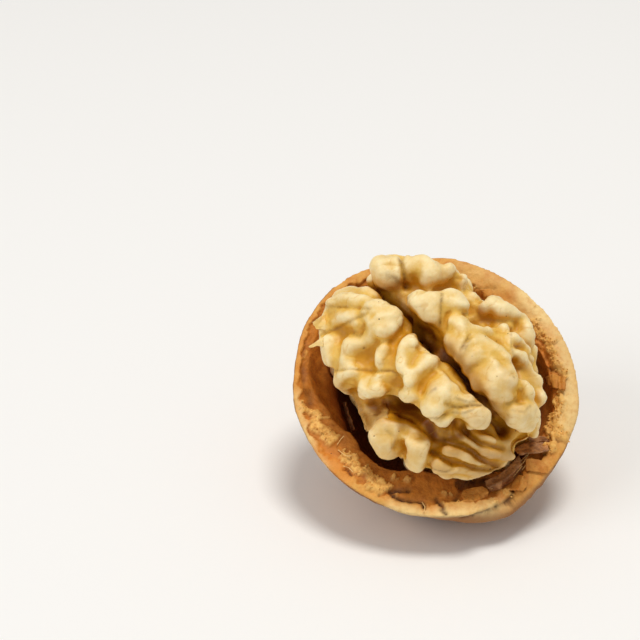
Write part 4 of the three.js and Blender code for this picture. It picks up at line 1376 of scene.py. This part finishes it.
plates = sheets("walnut_plates", PLATES, shell_tree, wrinkle=0.12, thickness=0.22, seed=3.0)
keep_even(plates, "rim", 1.0)
keep_even(plates, "torn", 0.5)
plates.data.materials.append(wood)
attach(plates, "root")
print("plates:", len(PLATES), "with", len(plates.data.polygons), "faces")

# %% [markdown]
# The membranes are the dry brown partition between the two seed leaves. At the stem end they are torn to
# strips that stand up between the kernel and the rim, and a thin wall of it shows in the gap beside the
# cap. They are thinner and more wrinkled than the plates, with a colour of their own.

# %% Membranes
MEMBRANES = [
    [
        {"line": [(485, 481), (498, 475), (510, 466), (519, 455)], "level": -2.2},
        {"line": [(488, 487), (500, 483), (512, 474), (522, 463)], "level": -1.9},
        {"line": [(489, 492), (501, 489), (512, 481), (521, 473)], "lift": 0.2},
    ],
    [
        {"line": [(514, 449), (523, 444), (533, 441), (546, 439)], "level": -1.6},
        {"line": [(519, 455), (529, 454), (538, 453), (550, 450)], "level": -0.6},
    ],
    [
        {"line": [(530, 432), (536, 436), (546, 437)], "level": -0.8},
        {"line": [(529, 440), (537, 443), (550, 443)], "level": -1.4},
    ],
    [   # the thin wall in the gap beside the cap
        {"line": [(343, 402), (345, 412), (349, 424), (352, 431)], "level": -8.0},
        {"line": [(346, 402), (349, 412), (352, 423), (354, 430)], "level": -7.0},
    ],
]
BARK = paint(204, 146, 90)
SEPIA = paint(138, 88, 48)

film, tree, shader = shader_of("membrane")
colour = mixed(tree, fitted(tree, clouds(tree, 1.2, 5.0, 0.65), 0.35, 0.65), BARK, SEPIA)
tree.links.new(colour, shader.inputs["Base Color"])
shader.inputs["Roughness"].default_value = 0.55
bumped(tree, shader, placed(tree, grain, size=0.5, depth=1.0), 0.1)
membranes = sheets("walnut_membranes", MEMBRANES, shell_tree, wrinkle=0.35, thickness=0.14, seed=11.0)
kept_clear(membranes, kernel, CLEAR)
membranes.data.materials.append(film)
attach(membranes, "root")
print("membranes:", len(MEMBRANES))

# %% [markdown]
# Crumbs of the torn tissue lie on the patches where it stayed. Each is a ball made uneven by noise, with
# its place, size and shape drawn at random from a fixed seed, so that every run gives the same ones. They
# are a piece of their own, because the shell's skin is too coarse for anything so small.

# %% Crumbs
CRUMB_COUNT = 360
CRUMB_SEED = 7
CRUMB_SIZES = (0.06, 0.16)      # radius in millimetres
CRUMB_STRETCH = (0.6, 1.2)
CRUMB_UNEVEN = 0.35
CRUMB_STAND = 0.3               # how far a crumb's middle stands out of the tissue, in its radius
CRUMB_PALE = (0.3, 1.0)
CRUMB_PATTERN = 5.0             # from one crumb's noise to the next

chance = np.random.default_rng(CRUMB_SEED)
weights = np.empty(len(shell.data.vertices), np.float32)
shell.data.attributes["crumb"].data.foreach_get("value", weights)
chosen = chance.choice(len(weights), CRUMB_COUNT, p=weights / weights.sum())
shell_places = places(shell)
shell_normals = normals(shell)
bpy.ops.mesh.primitive_ico_sphere_add(subdivisions=2, radius=1)
ball = bpy.context.object
ball_places = places(ball)
ball_faces = [tuple(face.vertices) for face in ball.data.polygons]
bpy.data.objects.remove(ball)
vertices = []
faces = []
for number, index in enumerate(chosen):
    size = chance.uniform(*CRUMB_SIZES) * MM
    uneven = 1 + CRUMB_UNEVEN * rough(ball_places, 0.8, CRUMB_PATTERN * number, 2)
    shape = ball_places * chance.uniform(*CRUMB_STRETCH, 3) * uneven[:, None]
    middle = shell_places[index] + shell_normals[index] * CRUMB_STAND * size
    faces += [tuple(corner + len(vertices) for corner in face) for face in ball_faces]
    vertices += [tuple(point) for point in middle + shape * size]
crumb_piece = piece_from("walnut_crumbs", vertices, faces)
shaded_smooth(crumb_piece)
keep_even(crumb_piece, "rim", 1.0)
keep(crumb_piece, "crumb", np.repeat(chance.uniform(*CRUMB_PALE, CRUMB_COUNT), len(ball_places)))
kept_clear(crumb_piece, kernel, CLEAR)
crumb_piece.data.materials.append(wood)
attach(crumb_piece, "root")
print("crumbs:", CRUMB_COUNT)

# %% [markdown]
# Pale fibres stick out of the torn tissue, as thin bent threads. Each is a curve through the places under a
# few pixels, lifted towards the camera, and a round bevel gives it its thickness. Strips of a mesh could be
# bent like this too, but a curve stays round however it turns. At the end it is made into a mesh.

# %% Fibres
FIBRES = [
    {"line": [(337, 445), (341, 439), (344, 436)], "lift": 0.5},
    {"line": [(338, 450), (346, 456), (352, 456)], "lift": 0.4},
    {"line": [(343, 466), (349, 468), (353, 472)], "lift": 0.4},
    {"line": [(422, 502), (425, 507), (424, 512)], "lift": 0.3},
    {"line": [(488, 485), (500, 480), (512, 474), (520, 462), (527, 455)], "lift": 0.9},
    {"line": [(491, 489), (503, 483), (514, 476), (522, 466)], "lift": 0.9},
    {"line": [(500, 481), (508, 479), (516, 471)], "lift": 1.1},
    {"line": [(518, 468), (524, 462), (529, 453)], "lift": 1.2},
    {"line": [(522, 470), (527, 464), (526, 457)], "lift": 0.9},
]
FIBRE_RADIUS = 0.07     # millimetres
FIBRE_WANDER = 0.3
FIBRE_PATTERN = 9.0     # from one fibre's noise to the next

threads = bpy.data.curves.new("walnut_fibres", "CURVE")
threads.dimensions = "3D"
threads.bevel_depth = FIBRE_RADIUS * MM
threads.bevel_resolution = 1
for number, fibre in enumerate(FIBRES):
    line, _ = laid(fibre, shell_tree, SHEET_AWAY)
    wander = FIBRE_WANDER * MM * rough(line / MM, 1.0, FIBRE_PATTERN * number)
    line += np.array(TOWARDS) * wander[:, None]
    spline = threads.splines.new("POLY")
    spline.points.add(len(line) - 1)
    for point, place in zip(spline.points, line):
        point.co = (*place, 1.0)
fibres = bpy.data.objects.new("walnut_fibres", threads)
bpy.context.scene.collection.objects.link(fibres)
bpy.ops.object.select_all(action="DESELECT")
fibres.select_set(True)
bpy.context.view_layer.objects.active = fibres
bpy.ops.object.convert(target="MESH")
keep_even(fibres, "rim", 1.0)
keep_even(fibres, "pale", 0.7)
fibres.data.materials.append(wood)
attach(fibres, "root")
print("fibres:", len(FIBRES))

# %% [markdown]
# At the cap's edge two small points of skin stand off the kernel, and under the cap a rough wall of skin
# hangs down to the curls. They are sheets like the plates, in the kernel's own skin.

# %% Skin
SKIN_POINTS = [
    [
        {"line": [(326, 313), (325, 331)], "lift": 0.0},
        {"line": [(319, 318), (318, 329)], "lift": 0.0},
        {"line": [(312, 323), (313, 326)], "lift": 0.0},
    ],
    [
        {"line": [(323, 338), (323, 347)], "lift": 0.0},
        {"line": [(317, 341), (317, 346)], "lift": 0.0},
        {"line": [(309, 346), (310, 347)], "lift": 0.0},
    ],
]
WALL = [
    [   # the wall that hangs from the cap down to the curls
        {"line": [(356, 399), (364, 402), (374, 402), (386, 402)], "lift": -0.3},
        {"line": [(360, 414), (367, 415), (376, 414), (388, 412)], "lift": 0.0},
        {"line": [(367, 431), (371, 431), (376, 424), (388, 420)], "lift": -0.3},
    ],
]

skin_sheets = SKIN_POINTS + WALL
skins = sheets("walnut_skin", skin_sheets, tree_of(kernel), wrinkle=0.15, thickness=0.2, seed=17.0)
keep_even(skins, "crest", 0.6)
# The wall under the cap takes the stains and painted shade of the strokes round it
keep(skins, "stain_and_shade", marked(skins, STAINS_AND_SHADE))
skins.data.materials.append(skin)
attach(skins, "root")
print("skin points:", len(SKIN_POINTS), "and a wall")
